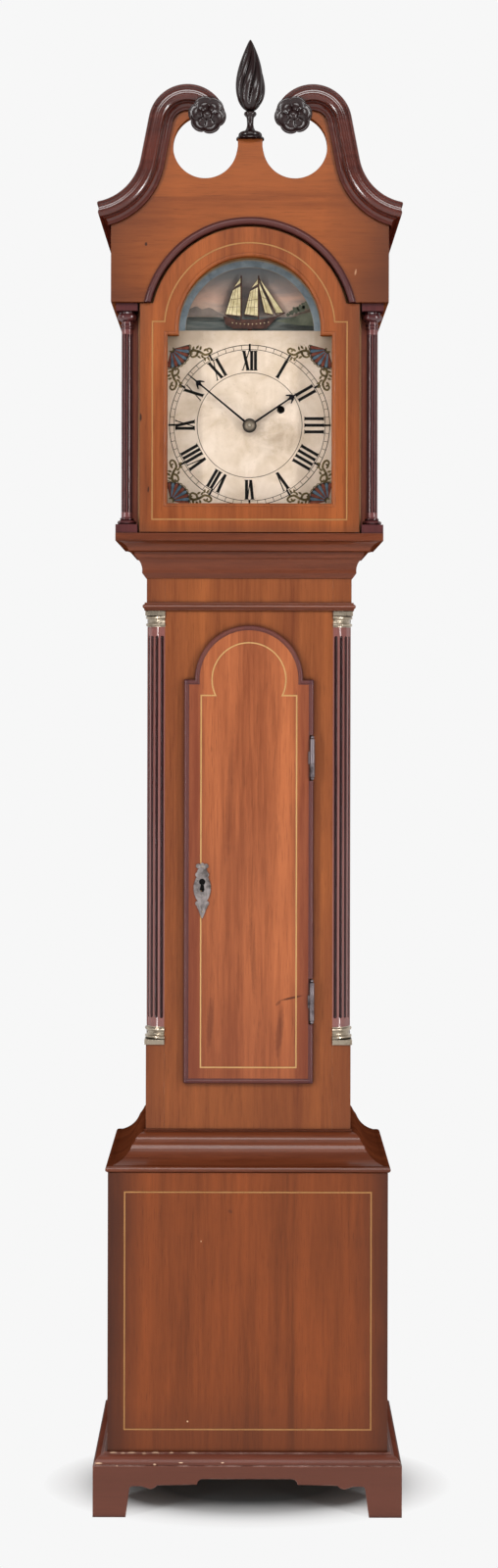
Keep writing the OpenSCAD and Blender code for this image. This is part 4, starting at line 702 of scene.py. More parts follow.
class Alloy(Enum):
    """The metals of the clock, by where they are used."""

    CAPITAL = Metal("column_brass", "b1a390", "594938", 0.3, 0.2, 0.9, seed=1.0)
    ESCUTCHEON = Metal("escutcheon_brass", "a39a98", "57504e", 0.5, 0.34, 0.8, seed=2.0)
    MOVEMENT = Metal("movement_brass", *CAST_BRASS, seed=3.0)
    LEAD = Metal("weight_casing", "bd9a5a", "7d6236", 0.5, 0.32, seed=4.0)
    STEEL = Metal("cut_steel", "b4b2b0", "6c6865", 0.4, 0.28, seed=5.0)
    HINGE = Metal("hinge_iron", "7d7376", "3c3536", 0.5, 0.38, 0.9, seed=6.0)
    BLUED = Metal("blued_steel", "141217", "0a090b", 0.4, 0.4, 0.95, seed=7.0,
                  round_patch=(0.0, HANDS_Z, 0.0078, "8c8070"))
    # The front plate and the great wheel are painted dark round the winding hole as shade.
    FRONT = Metal("front_plate_brass", *CAST_BRASS, seed=3.0,
                  round_patch=(*WINDING_HOLE, 0.0240, "0b0a09"))
    GREAT = Metal("great_wheel_brass", *CAST_BRASS, seed=9.0,
                  round_patch=(*WINDING_HOLE, 0.0085, "0e0d0d"))
    BOSS = Metal("hand_boss", "cfc5b2", "7d715d", 0.35, 0.24, 0.9, seed=8.0)


@dataclass(frozen=True)
class Enamel:
    """A hand-laid paint with uneven strength and fine cracks.

    Attributes:
        name: The material's name.
        colour: Its colour where it is thin.
        shade: Its colour where it is thick.
        scale: Its clouds to the metre.
        roughness: How dull it is.
    """

    CRACKS = 9
    CRACK_DEPTH = 0.00003
    SHINE = 0.1

    name: str
    colour: str
    shade: str
    scale: float = 120.0
    roughness: float = 0.5

    def build(self) -> bpy.types.Material:
        """Makes the paint's material.

        Returns:
            The material.
        """
        s = Surface(self.name)
        uneven = s.noise(s.place, self.scale, 4.0, 0.6, 0.3)
        colour = s.mix(s.span(uneven, 0.34, 0.7), paint(self.colour), paint(self.shade))
        cracks = s.noise(s.place, self.scale * self.CRACKS, 2.0)
        return s.done(base_color=colour, roughness=self.roughness, specular_ior_level=self.SHINE,
                      normal=s.bump(cracks, self.CRACK_DEPTH))


class Tint(Enum):
    """The paints of the dial, its corners and the picture over it, and the keyhole's painted shade."""

    NUMERAL = Enamel("numeral_black", "0d0b0b", "1a1614", 300.0)
    RING = Enamel("chapter_black", "26221f", "443c35", 260.0)
    BLUE = Enamel("fan_blue", "6d8392", "445969", 150.0)
    RED = Enamel("fan_red", "8e4f3e", "693428", 150.0)
    GILT = Enamel("scroll_gilt", "7a6844", "43381f", 320.0)
    BORDER = Enamel("arch_border", "94a3ab", "6b7a84", 90.0)
    SAIL = Enamel("sail_cream", "e6d9ae", "b5a679", 110.0)
    HULL = Enamel("hull_brown", "5a3d34", "352826", 140.0)
    HILL = Enamel("far_hill", "8a7d74", "69625d", 60.0)
    SHORE = Enamel("near_shore", "6a6d5c", "4c5043", 70.0)
    # Painted shade: the black of the keyhole's mouth, which lies in shade.
    HOLLOW = Enamel("keyhole_shade", "060505", "0b0909", 300.0, 0.8)


@dataclass(frozen=True)
class DialFace:
    """The painted dial: a warm white with brown stains, and painted shade towards its rim."""

    # Each stain's X, height over the hands' arbor, half width, half height and strength.
    BLOTS = ((0.030, -0.006, 0.040, 0.034, 0.55), (-0.040, 0.018, 0.034, 0.024, 0.4),
             (0.004, 0.004, 0.024, 0.024, 0.35), (0.002, 0.095, 0.06, 0.012, 0.25))

    name: str = "dial_paint"

    def build(self) -> bpy.types.Material:
        """Makes the dial's material.

        Returns:
            The material.
        """
        s = Surface(self.name)
        pale, warm, brown = paint("eedbc7"), paint("d2bba0"), paint("8a7050")
        mottled = s.noise(s.place, 34.0, 5.0, 0.62, 0.5)
        colour = s.mix(s.span(mottled, 0.38, 0.72), pale, warm)
        wipes = s.noise(s.stretch((1, 1, 0.12)), 210.0, 3.0)
        colour = s.mix(s.span(wipes, 0.5, 0.75, 0.0, 0.3), colour, warm)
        stain = s.noise(s.place, 21.0, 6.0, 0.7, 0.8)
        for x, rise, wide, tall, most in self.BLOTS:
            blot = s.spot(x, HANDS_Z + rise, wide, tall, 0.0, 0.8)
            share = s.sum("MULTIPLY", blot, s.span(stain, 0.42, 0.68, 0.0, most))
            colour = s.mix(share, colour, brown)
        # Painted shade that darkens the dial towards its rim, where the hood door's frame shades it.
        middle = s.spot(0.0, HANDS_Z + 0.004, 0.150, 0.146)
        colour = s.mix(s.span(middle, 0.0, 0.85, 0.85, 0.0), colour, paint("8f7b62"))
        specks = s.noise(s.place, 520.0, 2.0)
        colour = s.mix(s.span(specks, 0.68, 0.76, 0.0, 0.5), colour, brown)
        return s.done(base_color=colour, roughness=s.span(stain, 0.3, 0.7, 0.38, 0.6),
                      normal=s.bump(mottled, 0.00012))


@dataclass(frozen=True)
class EveningSky:
    """A calm sea under a dusky sky, painted on the plate in the arch."""

    name: str = "evening_sky"
    top: float = 1.426

    def build(self) -> bpy.types.Material:
        """Makes the picture's material.

        Returns:
            The material.
        """
        s = Surface(self.name)
        height = s.axes(s.place)[2]
        rise = s.span(height, HORIZON, self.top)
        clouds = s.noise(s.stretch((1, 1, 3.2)), 22.0, 5.0, 0.6, 0.6)
        sky = s.ramp(rise, [(0.0, paint("dcc0aa")), (0.35, paint("cfa893")),
                            (0.75, paint("8d8a86")), (1.0, paint("68737b"))])
        sky = s.mix(s.span(clouds, 0.42, 0.66, 0.0, 0.5), sky, paint("77797c"))
        gloom = s.spot(-0.004, HORIZON + 0.016, 0.040, 0.030, 0.0, 0.5)
        sky = s.mix(s.sum("MULTIPLY", gloom, 0.85), sky, paint("19181a"))
        ripple = s.noise(s.stretch((0.25, 1, 5.0)), 120.0, 3.0, 0.6, 0.4)
        sea = s.mix(s.span(ripple, 0.4, 0.62), paint("4b5452"), paint("6f726b"))
        wet = s.span(height, HORIZON - 0.0006, HORIZON + 0.0006, 1.0, 0.0)
        return s.done(base_color=s.mix(wet, sky, sea), roughness=0.5,
                      normal=s.bump(clouds, 0.00008))


@dataclass(frozen=True)
class Pane:
    """Old window glass, thin enough to look straight through."""

    name: str = "old_glass"

    def build(self) -> bpy.types.Material:
        """Makes the glass's material.

        Returns:
            The material.
        """
        s = Surface(self.name)
        waves = s.noise(s.place, 16.0, 2.0)
        return s.done(base_color=paint("0c0d0d"), alpha=0.06, roughness=0.03, ior=1.5,
                      normal=s.bump(waves, 0.0006))


@dataclass(frozen=True)
class Gut:
    """A twisted gut line."""

    name: str = "gut_strand"

    def build(self) -> bpy.types.Material:
        """Makes the line's material.

        Returns:
            The material.
        """
        s = Surface(self.name)
        twist = s.add("ShaderNodeTexWave", {"Vector": s.stretch((1, 1, 1), turn=(0.6, 0.5, 0.0)),
                                            "Scale": 420.0, "Distortion": 1.5}).outputs[1]
        colour = s.mix(s.span(twist, 0.2, 0.8), paint("b08a52"), paint("7c5c33"))
        return s.done(base_color=colour, roughness=0.45, normal=s.bump(twist, 0.0002))


class Palette:
    """Makes each finish once and hands it out by name."""

    def __init__(self) -> None:
        """Starts with no material made."""
        self._made: dict[str, bpy.types.Material] = {}

    def __call__(self, finish: Any) -> bpy.types.Material:
        """Returns the material of a finish.

        Args:
            finish: A finish, or a member of one of the lists of finishes.

        Returns:
            Its material, made the first time that it is asked for.
        """
        finish = finish.value if isinstance(finish, Enum) else finish
        if finish.name not in self._made:
            self._made[finish.name] = finish.build()
        return self._made[finish.name]


def linked(name: str, mesh: bpy.types.Mesh) -> bpy.types.Object:
    """Puts a mesh in the scene.

    Args:
        name: The object's name.
        mesh: The mesh.

    Returns:
        The new object.
    """
    made = bpy.data.objects.new(name, mesh)
    bpy.context.scene.collection.objects.link(made)
    return made


def shaped(name: str, points: Iterable[Sequence[float]], faces: Iterable[Sequence[int]],
           material: bpy.types.Material, smooth: float = 0.0) -> bpy.types.Object:
    """Makes a piece from points and faces, with its faces turned outwards.

    Args:
        name: The piece's name.
        points: Its points.
        faces: The points of each face.
        material: Its finish.
        smooth: The widest angle between faces that still looks round, in degrees.

    Returns:
        The new object.
    """
    mesh = bpy.data.meshes.new(name)
    mesh.from_pydata([tuple(p) for p in points], [], [tuple(f) for f in faces])
    body = bmesh.new()
    body.from_mesh(mesh)
    bmesh.ops.remove_doubles(body, verts=body.verts, dist=1e-7)
    bmesh.ops.recalc_face_normals(body, faces=body.faces)
    limit = math.radians(smooth)
    for face in body.faces:
        face.smooth = smooth > 0
    for edge in body.edges:
        edge.smooth = edge.is_manifold and edge.calc_face_angle(math.pi) < limit
    body.to_mesh(mesh)
    body.free()
    mesh.materials.append(material)
    return linked(name, mesh)


def settled(made: bpy.types.Object) -> bpy.types.Object:
    """Turns an object with modifiers into one plain mesh of the same name.

    Args:
        made: The object, whose modifiers are all applied.

    Returns:
        The object that takes its place.
    """
    bpy.context.view_layer.update()
    graph = bpy.context.evaluated_depsgraph_get()
    mesh = bpy.data.meshes.new_from_object(made.evaluated_get(graph))
    name = made.name
    old = made.data
    bpy.data.objects.remove(made)
    bpy.data.meshes.remove(old)
    mesh.name = name
    return linked(name, mesh)


def walls(rings: int, count: int) -> list[Face]:
    """Returns the faces between rings of so many points each, one ring after another."""
    return [(i * count + k, i * count + (k + 1) % count, (i + 1) * count + (k + 1) % count,
             (i + 1) * count + k) for i in range(rings - 1) for k in range(count)]


def smooth_path(points: Sequence[Point], steps: int = 8) -> list[Point]:
    """Returns points on a smooth curve through the given ones.

    Args:
        points: The points that the curve goes through.
        steps: How many parts each stretch is cut into.

    Returns:
        The curve's points, ends included.
    """
    held = [points[0], *points, points[-1]]
    out: list[Point] = []
    for a, b, c, d in zip(held, held[1:], held[2:], held[3:]):
        for i in range(steps):
            t = i / steps
            out.append(tuple(0.5 * (2 * q + (r - p) * t + (2 * p - 5 * q + 4 * r - w) * t * t
                                    + (3 * q - p - 3 * r + w) * t ** 3)
                             for p, q, r, w in zip(a, b, c, d)))
    return [*out, points[-1]]


@dataclass
class Sheet:
    """Thin painted shapes that all lie on one upright plane and face the front."""

    y: float
    thick: float = 0.00008
    points: list[Place] = field(default_factory=list)
    faces: list[Face] = field(default_factory=list)

    FINEST = 0.00005

    def patch(self, outline: Sequence[Point]) -> None:
        """Adds a closed outline as a shape with a front, a back and a rim.

        Args:
            outline: Its corners in order.
        """
        n, start = len(outline), len(self.points)
        for y in (self.y - self.thick, self.y):
            self.points += [(x, y, z) for x, z in outline]
        self.faces.append(tuple(range(start, start + n)))
        self.faces.append(tuple(range(start + 2 * n - 1, start + n - 1, -1)))
        for i in range(n):
            j = (i + 1) % n
            self.faces.append((start + i, start + j, start + n + j, start + n + i))

    def strip(self, path: Sequence[Point], width: Callable[[float], float]) -> None:
        """Adds a band along a path.

        Args:
            path: The points of its middle line.
            width: Its width at a share of its length from 0 to 1.
        """
        left, right = [], []
        for i, (x, z) in enumerate(path):
            before, after = path[max(i - 1, 0)], path[min(i + 1, len(path) - 1)]
            way = Vector((after[0] - before[0], after[1] - before[1])).normalized()
            half = max(width(i / (len(path) - 1)), self.FINEST) / 2
            left.append((x - way.y * half, z + way.x * half))
            right.append((x + way.y * half, z - way.x * half))
        for i in range(len(path) - 1):
            self.patch([left[i], left[i + 1], right[i + 1], right[i]])

    def ring(self, centre: Point, inner: float, outer: float, start: float = 0.0,
             end: float = 360.0, parts: int = 120) -> None:
        """Adds a flat ring or a part of one.

        Args:
            centre: Its middle.
            inner: Its inner radius.
            outer: Its outer radius.
            start: The angle that it starts at, in degrees.
            end: The angle that it ends at.
            parts: How many flat parts it has.
        """
        for i in range(parts):
            a, b = (math.radians(start + (end - start) * k / parts) for k in (i, i + 1))
            self.patch([(centre[0] + r * math.cos(t), centre[1] + r * math.sin(t))
                        for r, t in ((inner, a), (outer, a), (outer, b), (inner, b))])

    def piece(self, name: str, material: bpy.types.Material, body: str, slot: str) -> None:
        """Makes the shapes one piece that moves with a body.

        Args:
            name: The piece's name.
            material: Its finish.
            body: The body that it moves with.
            slot: Not used.
        """
        made = shaped(name, self.points, self.faces, material)
        LOG.info("%s: %d faces, on %s", name, len(made.data.polygons), body)
        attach(made, body)


class Repeats:
    """Node trees that lay out what repeats, each ending in one plain mesh."""

    def __init__(self, palette: Palette) -> None:
        """Takes the finishes that the repeats are given."""
        self.palette = palette

    @staticmethod
    def _tree(name: str, inputs: dict[str, str]) -> tuple[Graph, bpy.types.Node]:
        """Starts a tree with named inputs.

        Args:
            name: The tree's name.
            inputs: The socket type of each input.

        Returns:
            The tree with its short calls, and its input node.
        """
        tree = bpy.data.node_groups.new(name, "GeometryNodeTree")
        tree.interface.new_socket("Geometry", in_out="INPUT", socket_type="NodeSocketGeometry")
        for label, kind in inputs.items():
            tree.interface.new_socket(label, in_out="INPUT", socket_type="NodeSocket" + kind)
        tree.interface.new_socket("Geometry", in_out="OUTPUT", socket_type="NodeSocketGeometry")
        graph = Graph(tree)
        return graph, graph.add("NodeGroupInput")

    @staticmethod
    def _close(graph: Graph, geometry: Socket, material: Socket) -> None:
        """Ends a tree: instances become real faces and take their finish.

        Args:
            graph: The tree.
            geometry: What it has made.
            material: The finish.
        """
        real = graph.add("GeometryNodeRealizeInstances", {0: geometry}).outputs[0]
        done = graph.add("GeometryNodeSetMaterial", {"Geometry": real, "Material": material})
        graph.add("NodeGroupOutput", {0: done.outputs[0]})

    @staticmethod
    def _run(name: str, base: bpy.types.Mesh, graph: Graph,
             values: dict[str, Any]) -> bpy.types.Object:
        """Runs a tree on a mesh and returns the plain result.

        Args:
            name: The new piece's name.
            base: The mesh that the tree starts from.
            graph: The tree.
            values: Its inputs by name.

        Returns:
            The finished object.
        """
        made = linked(name, base)
        modifier = made.modifiers.new("repeat", "NODES")
        modifier.node_group = graph.tree
        for item in graph.tree.interface.items_tree:
            if item.in_out == "INPUT" and item.name in values:
                modifier[item.identifier] = values[item.name]
        made = settled(made)
        LOG.info("%s: %d faces", name, len(made.data.polygons))
        return made

    def radial(self, name: str, centre: Sequence[float], count: int, radius: float,
               length: float, width: float, thick: float, finish: Any) -> bpy.types.Object:
        """Lays bars in a ring that faces the front, each pointing at the middle.

        Args:
            name: The piece's name.
            centre: The ring's middle.
            count: How many bars.
            radius: From the middle to a bar's own middle.
            length: A bar's length towards the middle.
            width: Its width along the ring.
            thick: Its thickness.
            finish: Its finish.

        Returns:
            The ring of bars.
        """
        g, given = self._tree("ring_of_bars", {
            "Count": "Int", "Radius": "Float", "Size": "Vector", "Centre": "Vector",
            "Finish": "Material"})
        ring = g.add("GeometryNodeMeshCircle", {
            "Vertices": given.outputs["Count"], "Radius": given.outputs["Radius"]})
        bar = g.add("GeometryNodeMeshCube", {"Size": given.outputs["Size"]})
        where = g.add("GeometryNodeInputPosition").outputs[0]
        aim = g.add("FunctionNodeAlignRotationToVector", {"Vector": where}, axis="Y", pivot_axis="Z")
        bars = g.add("GeometryNodeInstanceOnPoints", {
            "Points": ring.outputs[0], "Instance": bar.outputs[0], "Rotation": aim.outputs[0]})
        stood = g.add("GeometryNodeTransform", {
            "Geometry": bars.outputs[0], "Translation": given.outputs["Centre"],
            "Rotation": (math.pi / 2, 0.0, 0.0)})
        self._close(g, stood.outputs[0], given.outputs["Finish"])
        return self._run(name, bpy.data.meshes.new(name), g, {
            "Count": count, "Radius": radius, "Size": (width, length, thick),
            "Centre": tuple(centre), "Finish": self.palette(finish)})

    def heads(self, name: str, places: Sequence[Place], radius: float, rise: float,
              facing: Place, finish: Any) -> bpy.types.Object:
        """Sets a domed pin head at each place.

        Args:
            name: The piece's name.
            places: Where the heads sit.
            radius: A head's radius.
            rise: How far it stands up.
            facing: The way that it faces.
            finish: Its finish.

        Returns:
            The heads as one piece.
        """
        g, given = self._tree("row_of_heads", {
            "Head": "Object", "Facing": "Vector", "Finish": "Material"})
        head = g.add("GeometryNodeObjectInfo", {"Object": given.outputs["Head"]})
        aim = g.add("FunctionNodeAlignRotationToVector", {"Vector": given.outputs["Facing"]}, axis="Z")
        placed = g.add("GeometryNodeInstanceOnPoints", {
            "Points": given.outputs["Geometry"], "Instance": head.outputs["Geometry"],
            "Rotation": aim.outputs[0]})
        self._close(g, placed.outputs[0], given.outputs["Finish"])
        base = bpy.data.meshes.new(name)
        base.from_pydata(places, [], [])
        model = self._head(radius, rise)
        made = self._run(name, base, g, {
            "Head": model, "Facing": facing, "Finish": self.palette(finish)})
        old = model.data
        bpy.data.objects.remove(model)
        bpy.data.meshes.remove(old)
        return made

    @staticmethod
    def _head(radius: float, rise: float, rings: int = 4, sides: int = 14) -> bpy.types.Object:
        """Makes one head: a dome on a flat back.

        Args:
            radius: The head's radius.
            rise: How far it stands up.
            rings: How many rings its dome has.
            sides: How many flats it has round it.

        Returns:
            The head, facing Z.
        """
        body = bmesh.new()
        rows = []
        for i in range(rings):
            t = math.pi / 2 * i / rings
            rows.append([body.verts.new((radius * math.cos(t) * math.cos(a),
                                         radius * math.cos(t) * math.sin(a), rise * math.sin(t)))
                         for a in (2 * math.pi * k / sides for k in range(sides))])
        top = body.verts.new((0, 0, rise))
        for low, high in zip(rows, rows[1:]):
            for k in range(sides):
                body.faces.new((low[k], low[(k + 1) % sides], high[(k + 1) % sides], high[k]))
        for k in range(sides):
            body.faces.new((rows[-1][k], rows[-1][(k + 1) % sides], top))
        body.faces.new(list(reversed(rows[0])))
        for face in body.faces:
            face.smooth = len(face.verts) < 5
        mesh = bpy.data.meshes.new("head")
        body.to_mesh(mesh)
        body.free()
        return linked("head", mesh)

    def tube(self, name: str, path: Sequence[Place], radius: float, sides: int,
             finish: Any) -> bpy.types.Object:
        """Draws a round line along a path.

        Args:
            name: The piece's name.
            path: The points that it follows.
            radius: Its radius.
            sides: How many flats it has round it.
            finish: Its finish.

        Returns:
            The line.
        """
        g, given = self._tree("round_line", {
            "Radius": "Float", "Sides": "Int", "Finish": "Material"})
        curve = g.add("GeometryNodeMeshToCurve", {"Mesh": given.outputs["Geometry"]})
        section = g.add("GeometryNodeCurvePrimitiveCircle", {
            "Resolution": given.outputs["Sides"], "Radius": given.outputs["Radius"]})
        body = g.add("GeometryNodeCurveToMesh", {
            "Curve": curve.outputs[0], "Profile Curve": section.outputs[0], "Fill Caps": True})
        smooth = g.add("GeometryNodeSetShadeSmooth", {"Geometry": body.outputs[0]})
        self._close(g, smooth.outputs[0], given.outputs["Finish"])
        base = bpy.data.meshes.new(name)
        base.from_pydata(path, [(i, i + 1) for i in range(len(path) - 1)], [])
        return self._run(name, base, g, {
            "Radius": radius, "Sides": sides, "Finish": self.palette(finish)})


@dataclass
class Assembly:
    """A sub-assembly of the clock, with the finish of each of its CAD nodes."""

    palette: Palette
    repeats: Repeats

    FINISHES = {}

    def dress(self) -> None:
        """Gives the sub-assembly's nodes their finishes."""
        for name, finish in self.FINISHES.items():
            node = bpy.data.objects[name]
            material = self.palette(finish)
            if not node.material_slots:
                node.data.materials.append(material)
            for slot in node.material_slots:
                slot.material = material
            LOG.info("%s: %s", name, material.name)

    def build(self) -> None:
        """Dresses the nodes and adds what the frame has no node for."""
        self.dress()


class Case(Assembly):
    """The carcase from the bracket plinth up to the seat moulding, and its back."""

    FINISHES = {
        "bracket_plinth": Timber.PLINTH, "glue_blocks": Timber.CARCASE,
        "base_front": Timber.BASE, "base_stringing": Timber.STRINGING,
        "base_sides": Timber.SIDE, "base_floor": Timber.CARCASE,
        "waist_moulding": Timber.MOULDING, "trunk_frame": Timber.PANEL,
        "trunk_corner_blocks": Timber.PANEL, "trunk_sides": Timber.SIDE,
        "quarter_columns": Timber.QUARTER, "column_brasses": Alloy.CAPITAL,
        "trunk_astragal": Timber.MOULDING, "seat_moulding": Timber.MOULDING,
        "backboard": Timber.CARCASE, "seatboard": Timber.CARCASE,
        "hinge_case_leaves": Alloy.HINGE}


@dataclass
class TrunkDoor(Assembly):
    """The arched door of the trunk with its stringing, lock and hinges."""

    pin_radius: float = 0.0011
    pin_rise: float = 0.0005
    key_head: float = 0.0036
    key_z: float = 0.7134
    key_foot: Point = (0.0029, -0.0098)
    key_parts: int = 28

    FINISHES = {
        "trunk_door": Timber.DOOR, "trunk_door_stringing": Timber.BRIGHT,
        "escutcheon": Alloy.ESCUTCHEON, "door_lock": Alloy.STEEL, "lock_bolt": Alloy.STEEL,
        "hinge_door_leaves": Alloy.HINGE}

    def keyhole(self, x: float, y: float) -> None:
        """Paints shade in the mouth of the keyhole: a black round head over a flared slot.

        Args:
            x: Its middle line.
            y: The face of its plate.
        """
        r, z = self.key_head, self.key_z
        turns = [math.radians(-62 + 304 * k / self.key_parts) for k in range(self.key_parts + 1)]
        half, foot = self.key_foot
        outline = [(x + r * math.cos(t), z + r * math.sin(t)) for t in turns]
        outline += [(x - half, z + foot), (x + half, z + foot)]
        mouth = Sheet(y)
        mouth.patch(outline)
        mouth.piece("keyhole_mouth", self.palette(Tint.HOLLOW), "trunk_door", "old_brass")

    def build(self) -> None:
        """Dresses the door and pins its escutcheon."""
        self.dress()
        low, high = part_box("escutcheon")
        x = (low.x + high.x) / 2
        self.keyhole(x, low.y)
        places = [(x, low.y, low.z + 0.0075), (x, low.y, high.z - 0.0042)]
        pins = self.repeats.heads("escutcheon_pins", places, self.pin_radius, self.pin_rise,
                                  FRONT, Alloy.CAPITAL)
        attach(pins, "trunk_door")


@dataclass
class Rosette:
    """A carved flower at the end of a swan neck."""

    palette: Palette
    petals: int = 6
    heart: float = 0.27
    rings: int = 30
    steps: int = 160
    turn: float = 0.2

    def height(self, r: float, a: float) -> float:
        """Gives the shape of the carving.

        Args:
            r: The share of the radius.
            a: The angle in radians.

        Returns:
            The height there, from 0 to 1.
        """
        wave = abs(math.cos(a * self.petals / 2))
        if r < self.heart:
            return 0.42 + 0.58 * math.sqrt(max(0.0, 1 - (r / self.heart) ** 2))
        t = (r - self.heart) / (1 - self.heart)
        hollow = 0.30 + 0.16 * math.cos(2 * math.pi * t * 0.85) + 0.26 * t * t
        crease = 0.22 * (1 - wave ** 0.6) * math.sin(math.pi * min(1.0, t * 0.95 + 0.12))
        return max(0.06, hollow - crease - 0.22 * max(0.0, t - 0.88) / 0.12)

    def rim(self, a: float) -> float:
        """Returns the share of the full radius that the rim reaches at an angle."""
        return 0.87 + 0.13 * abs(math.cos(a * self.petals / 2)) ** 0.55

    def carve(self, middle: Vector, radius: float, back: float, depth: float,
              turn: float) -> tuple[list[Vector], list[Face]]:
        """Makes the points and faces of one rosette.

        Args:
            middle: Its middle on the back plane.
            radius: Its radius.
            back: The place of its back along Y.
            depth: How far it stands out.
            turn: Its turn in radians.

        Returns:
            The points and the faces, which count from 0.
        """
        points: list[Vector] = []
        for i in range(1, self.rings + 1):
            share = i / self.rings
            for k in range(self.steps):
                a = 2 * math.pi * k / self.steps
                r = radius * share * self.rim(a)
                points.append(Vector((middle.x + r * math.cos(a + turn),
                                      back - depth * self.height(share, a),
                                      middle.z + r * math.sin(a + turn))))
        for k in range(self.steps):
            a = 2 * math.pi * k / self.steps
            r = radius * self.rim(a) * 0.93
            points.append(Vector((middle.x + r * math.cos(a + turn), back,
                                  middle.z + r * math.sin(a + turn))))
        top, foot = len(points), len(points) + 1
        points += [Vector((middle.x, back - depth, middle.z)), Vector((middle.x, back, middle.z))]
        n = self.steps
        faces = walls(self.rings + 1, n)
        faces += [(k, top, (k + 1) % n) for k in range(n)]
        last = self.rings * n
        faces += [(last + k, last + (k + 1) % n, foot) for k in range(n)]
        return points, faces

    def build(self) -> None:
        """Carves both rosettes in the place of the plain ones."""
        low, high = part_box("rosettes")
        radius = (high.z - low.z) / 2
        points: list[Vector] = []
        faces: list[Face] = []
        for side in (-1, 1):
            middle = Vector((side * (high.x - radius), 0, (low.z + high.z) / 2))
            more, shut = self.carve(middle, radius, high.y, high.y - low.y, side * self.turn)
            faces += [tuple(i + len(points) for i in face) for face in shut]
            points += more
        made = shaped("carved_rosettes", points, faces, self.palette(Timber.CARVED), 40.0)
        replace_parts(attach(made, "hood"), "rosettes")
        LOG.info("carved_rosettes: %d points", len(points))


@dataclass
class Finial:
    """The carved flame on its turned stem between the swan necks."""

    # The stem's radius and height, from its foot up.
    TURNING = ((0.0158, 0.0), (0.0158, 0.0016), (0.0150, 0.0024), (0.0124, 0.0030),
               (0.0130, 0.0036), (0.0134, 0.0050), (0.0130, 0.0066), (0.0118, 0.0080),
               (0.0104, 0.0087), (0.0072, 0.0094), (0.0056, 0.0108), (0.0043, 0.0135),
               (0.0036, 0.0170), (0.0037, 0.0205), (0.0040, 0.0245), (0.0048, 0.0262),
               (0.0066, 0.0280), (0.0072, 0.0296), (0.0066, 0.0312), (0.0050, 0.0322))

    palette: Palette
    stem: float = 0.0324
    belly: float = 0.0167
    ribs: int = 7
    twist: float = 10.5
    relief: float = 0.26
    rings: int = 120
    steps: int = 144

    def profile(self, t: float) -> float:
        """Returns the flame's plain radius at a height from 0 to 1."""
        swell = math.sin(math.pi * t ** 0.72) ** 0.75 if 0 < t < 1 else 0.0
        return self.belly * swell * (1 - 0.25 * t) + 0.0009 * (1 - t) + 0.0003

    def carve(self, t: float, a: float) -> float:
        """Gives the flame's carving.

        Args:
            t: The height, from 0 to 1.
            a: The angle in radians.

        Returns:
            The share of the plain radius that the carved one is.
        """
        twist = a * self.ribs - self.twist * t + 0.9 * math.sin(2 * a - 5 * t)
        rib = abs(math.sin(twist / 2)) ** 0.55
        fade = min(1.0, 7 * t, 4 * (1 - t))
        return 1 + fade * self.relief * (rib - 0.8)

    def build(self) -> None:
        """Turns the stem and carves the flame in the place of the plain finial."""
        low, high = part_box("finial")
        x, y = (low.x + high.x) / 2, (low.y + high.y) / 2
        tall = high.z - low.z
        rows: list[list[Place]] = []
        turns = [2 * math.pi * k / self.steps for k in range(self.steps)]
        for r, z in self.TURNING:
            rows.append([(x + r * math.cos(a), y + r * math.sin(a), low.z + z) for a in turns])
        for i in range(self.rings + 1):
            t = 0.004 + 0.992 * i / self.rings
            z = low.z + self.stem + (tall - self.stem) * t
            row = []
            for a in turns:
                r = self.profile(t) * self.carve(t, a)
                row.append((x + r * math.cos(a), y + r * math.sin(a), z))
            rows.append(row)
        points = [p for row in rows for p in row]
        n = self.steps
        faces = walls(len(rows), n)
        faces.append(tuple(reversed(range(n))))
        faces.append(tuple(range((len(rows) - 1) * n, len(rows) * n)))
        made = shaped("carved_finial", points, faces, self.palette(Timber.CARVED), 50.0)
        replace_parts(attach(made, "hood"), "finial")
        LOG.info("carved_finial: %d points", len(points))


class Hood(Assembly):
    """The hood with its columns, arched board, swan necks and glazed door."""

    FINISHES = {
        "hood_base_frame": Timber.MOULDING, "hood_posts": Timber.POST,
        "hood_sides": Timber.SIDE, "hood_roof": Timber.CARCASE, "dial_mask": Timber.CARCASE,
        "tympanum": Timber.PEDIMENT, "swan_necks": Timber.NECK, "rosettes": Timber.CARVED,
        "finial": Timber.CARVED, "hood_columns": Timber.TURNED, "hood_door": Timber.HOOD_DOOR,
        "hood_door_stringing": Timber.STRINGING, "hood_door_glass": Pane(),
        "hood_door_pivots": Alloy.HINGE}

    def build(self) -> None:
        """Dresses the hood and adds its carvings."""
        self.dress()
        Rosette(self.palette).build()
        Finial(self.palette).build()


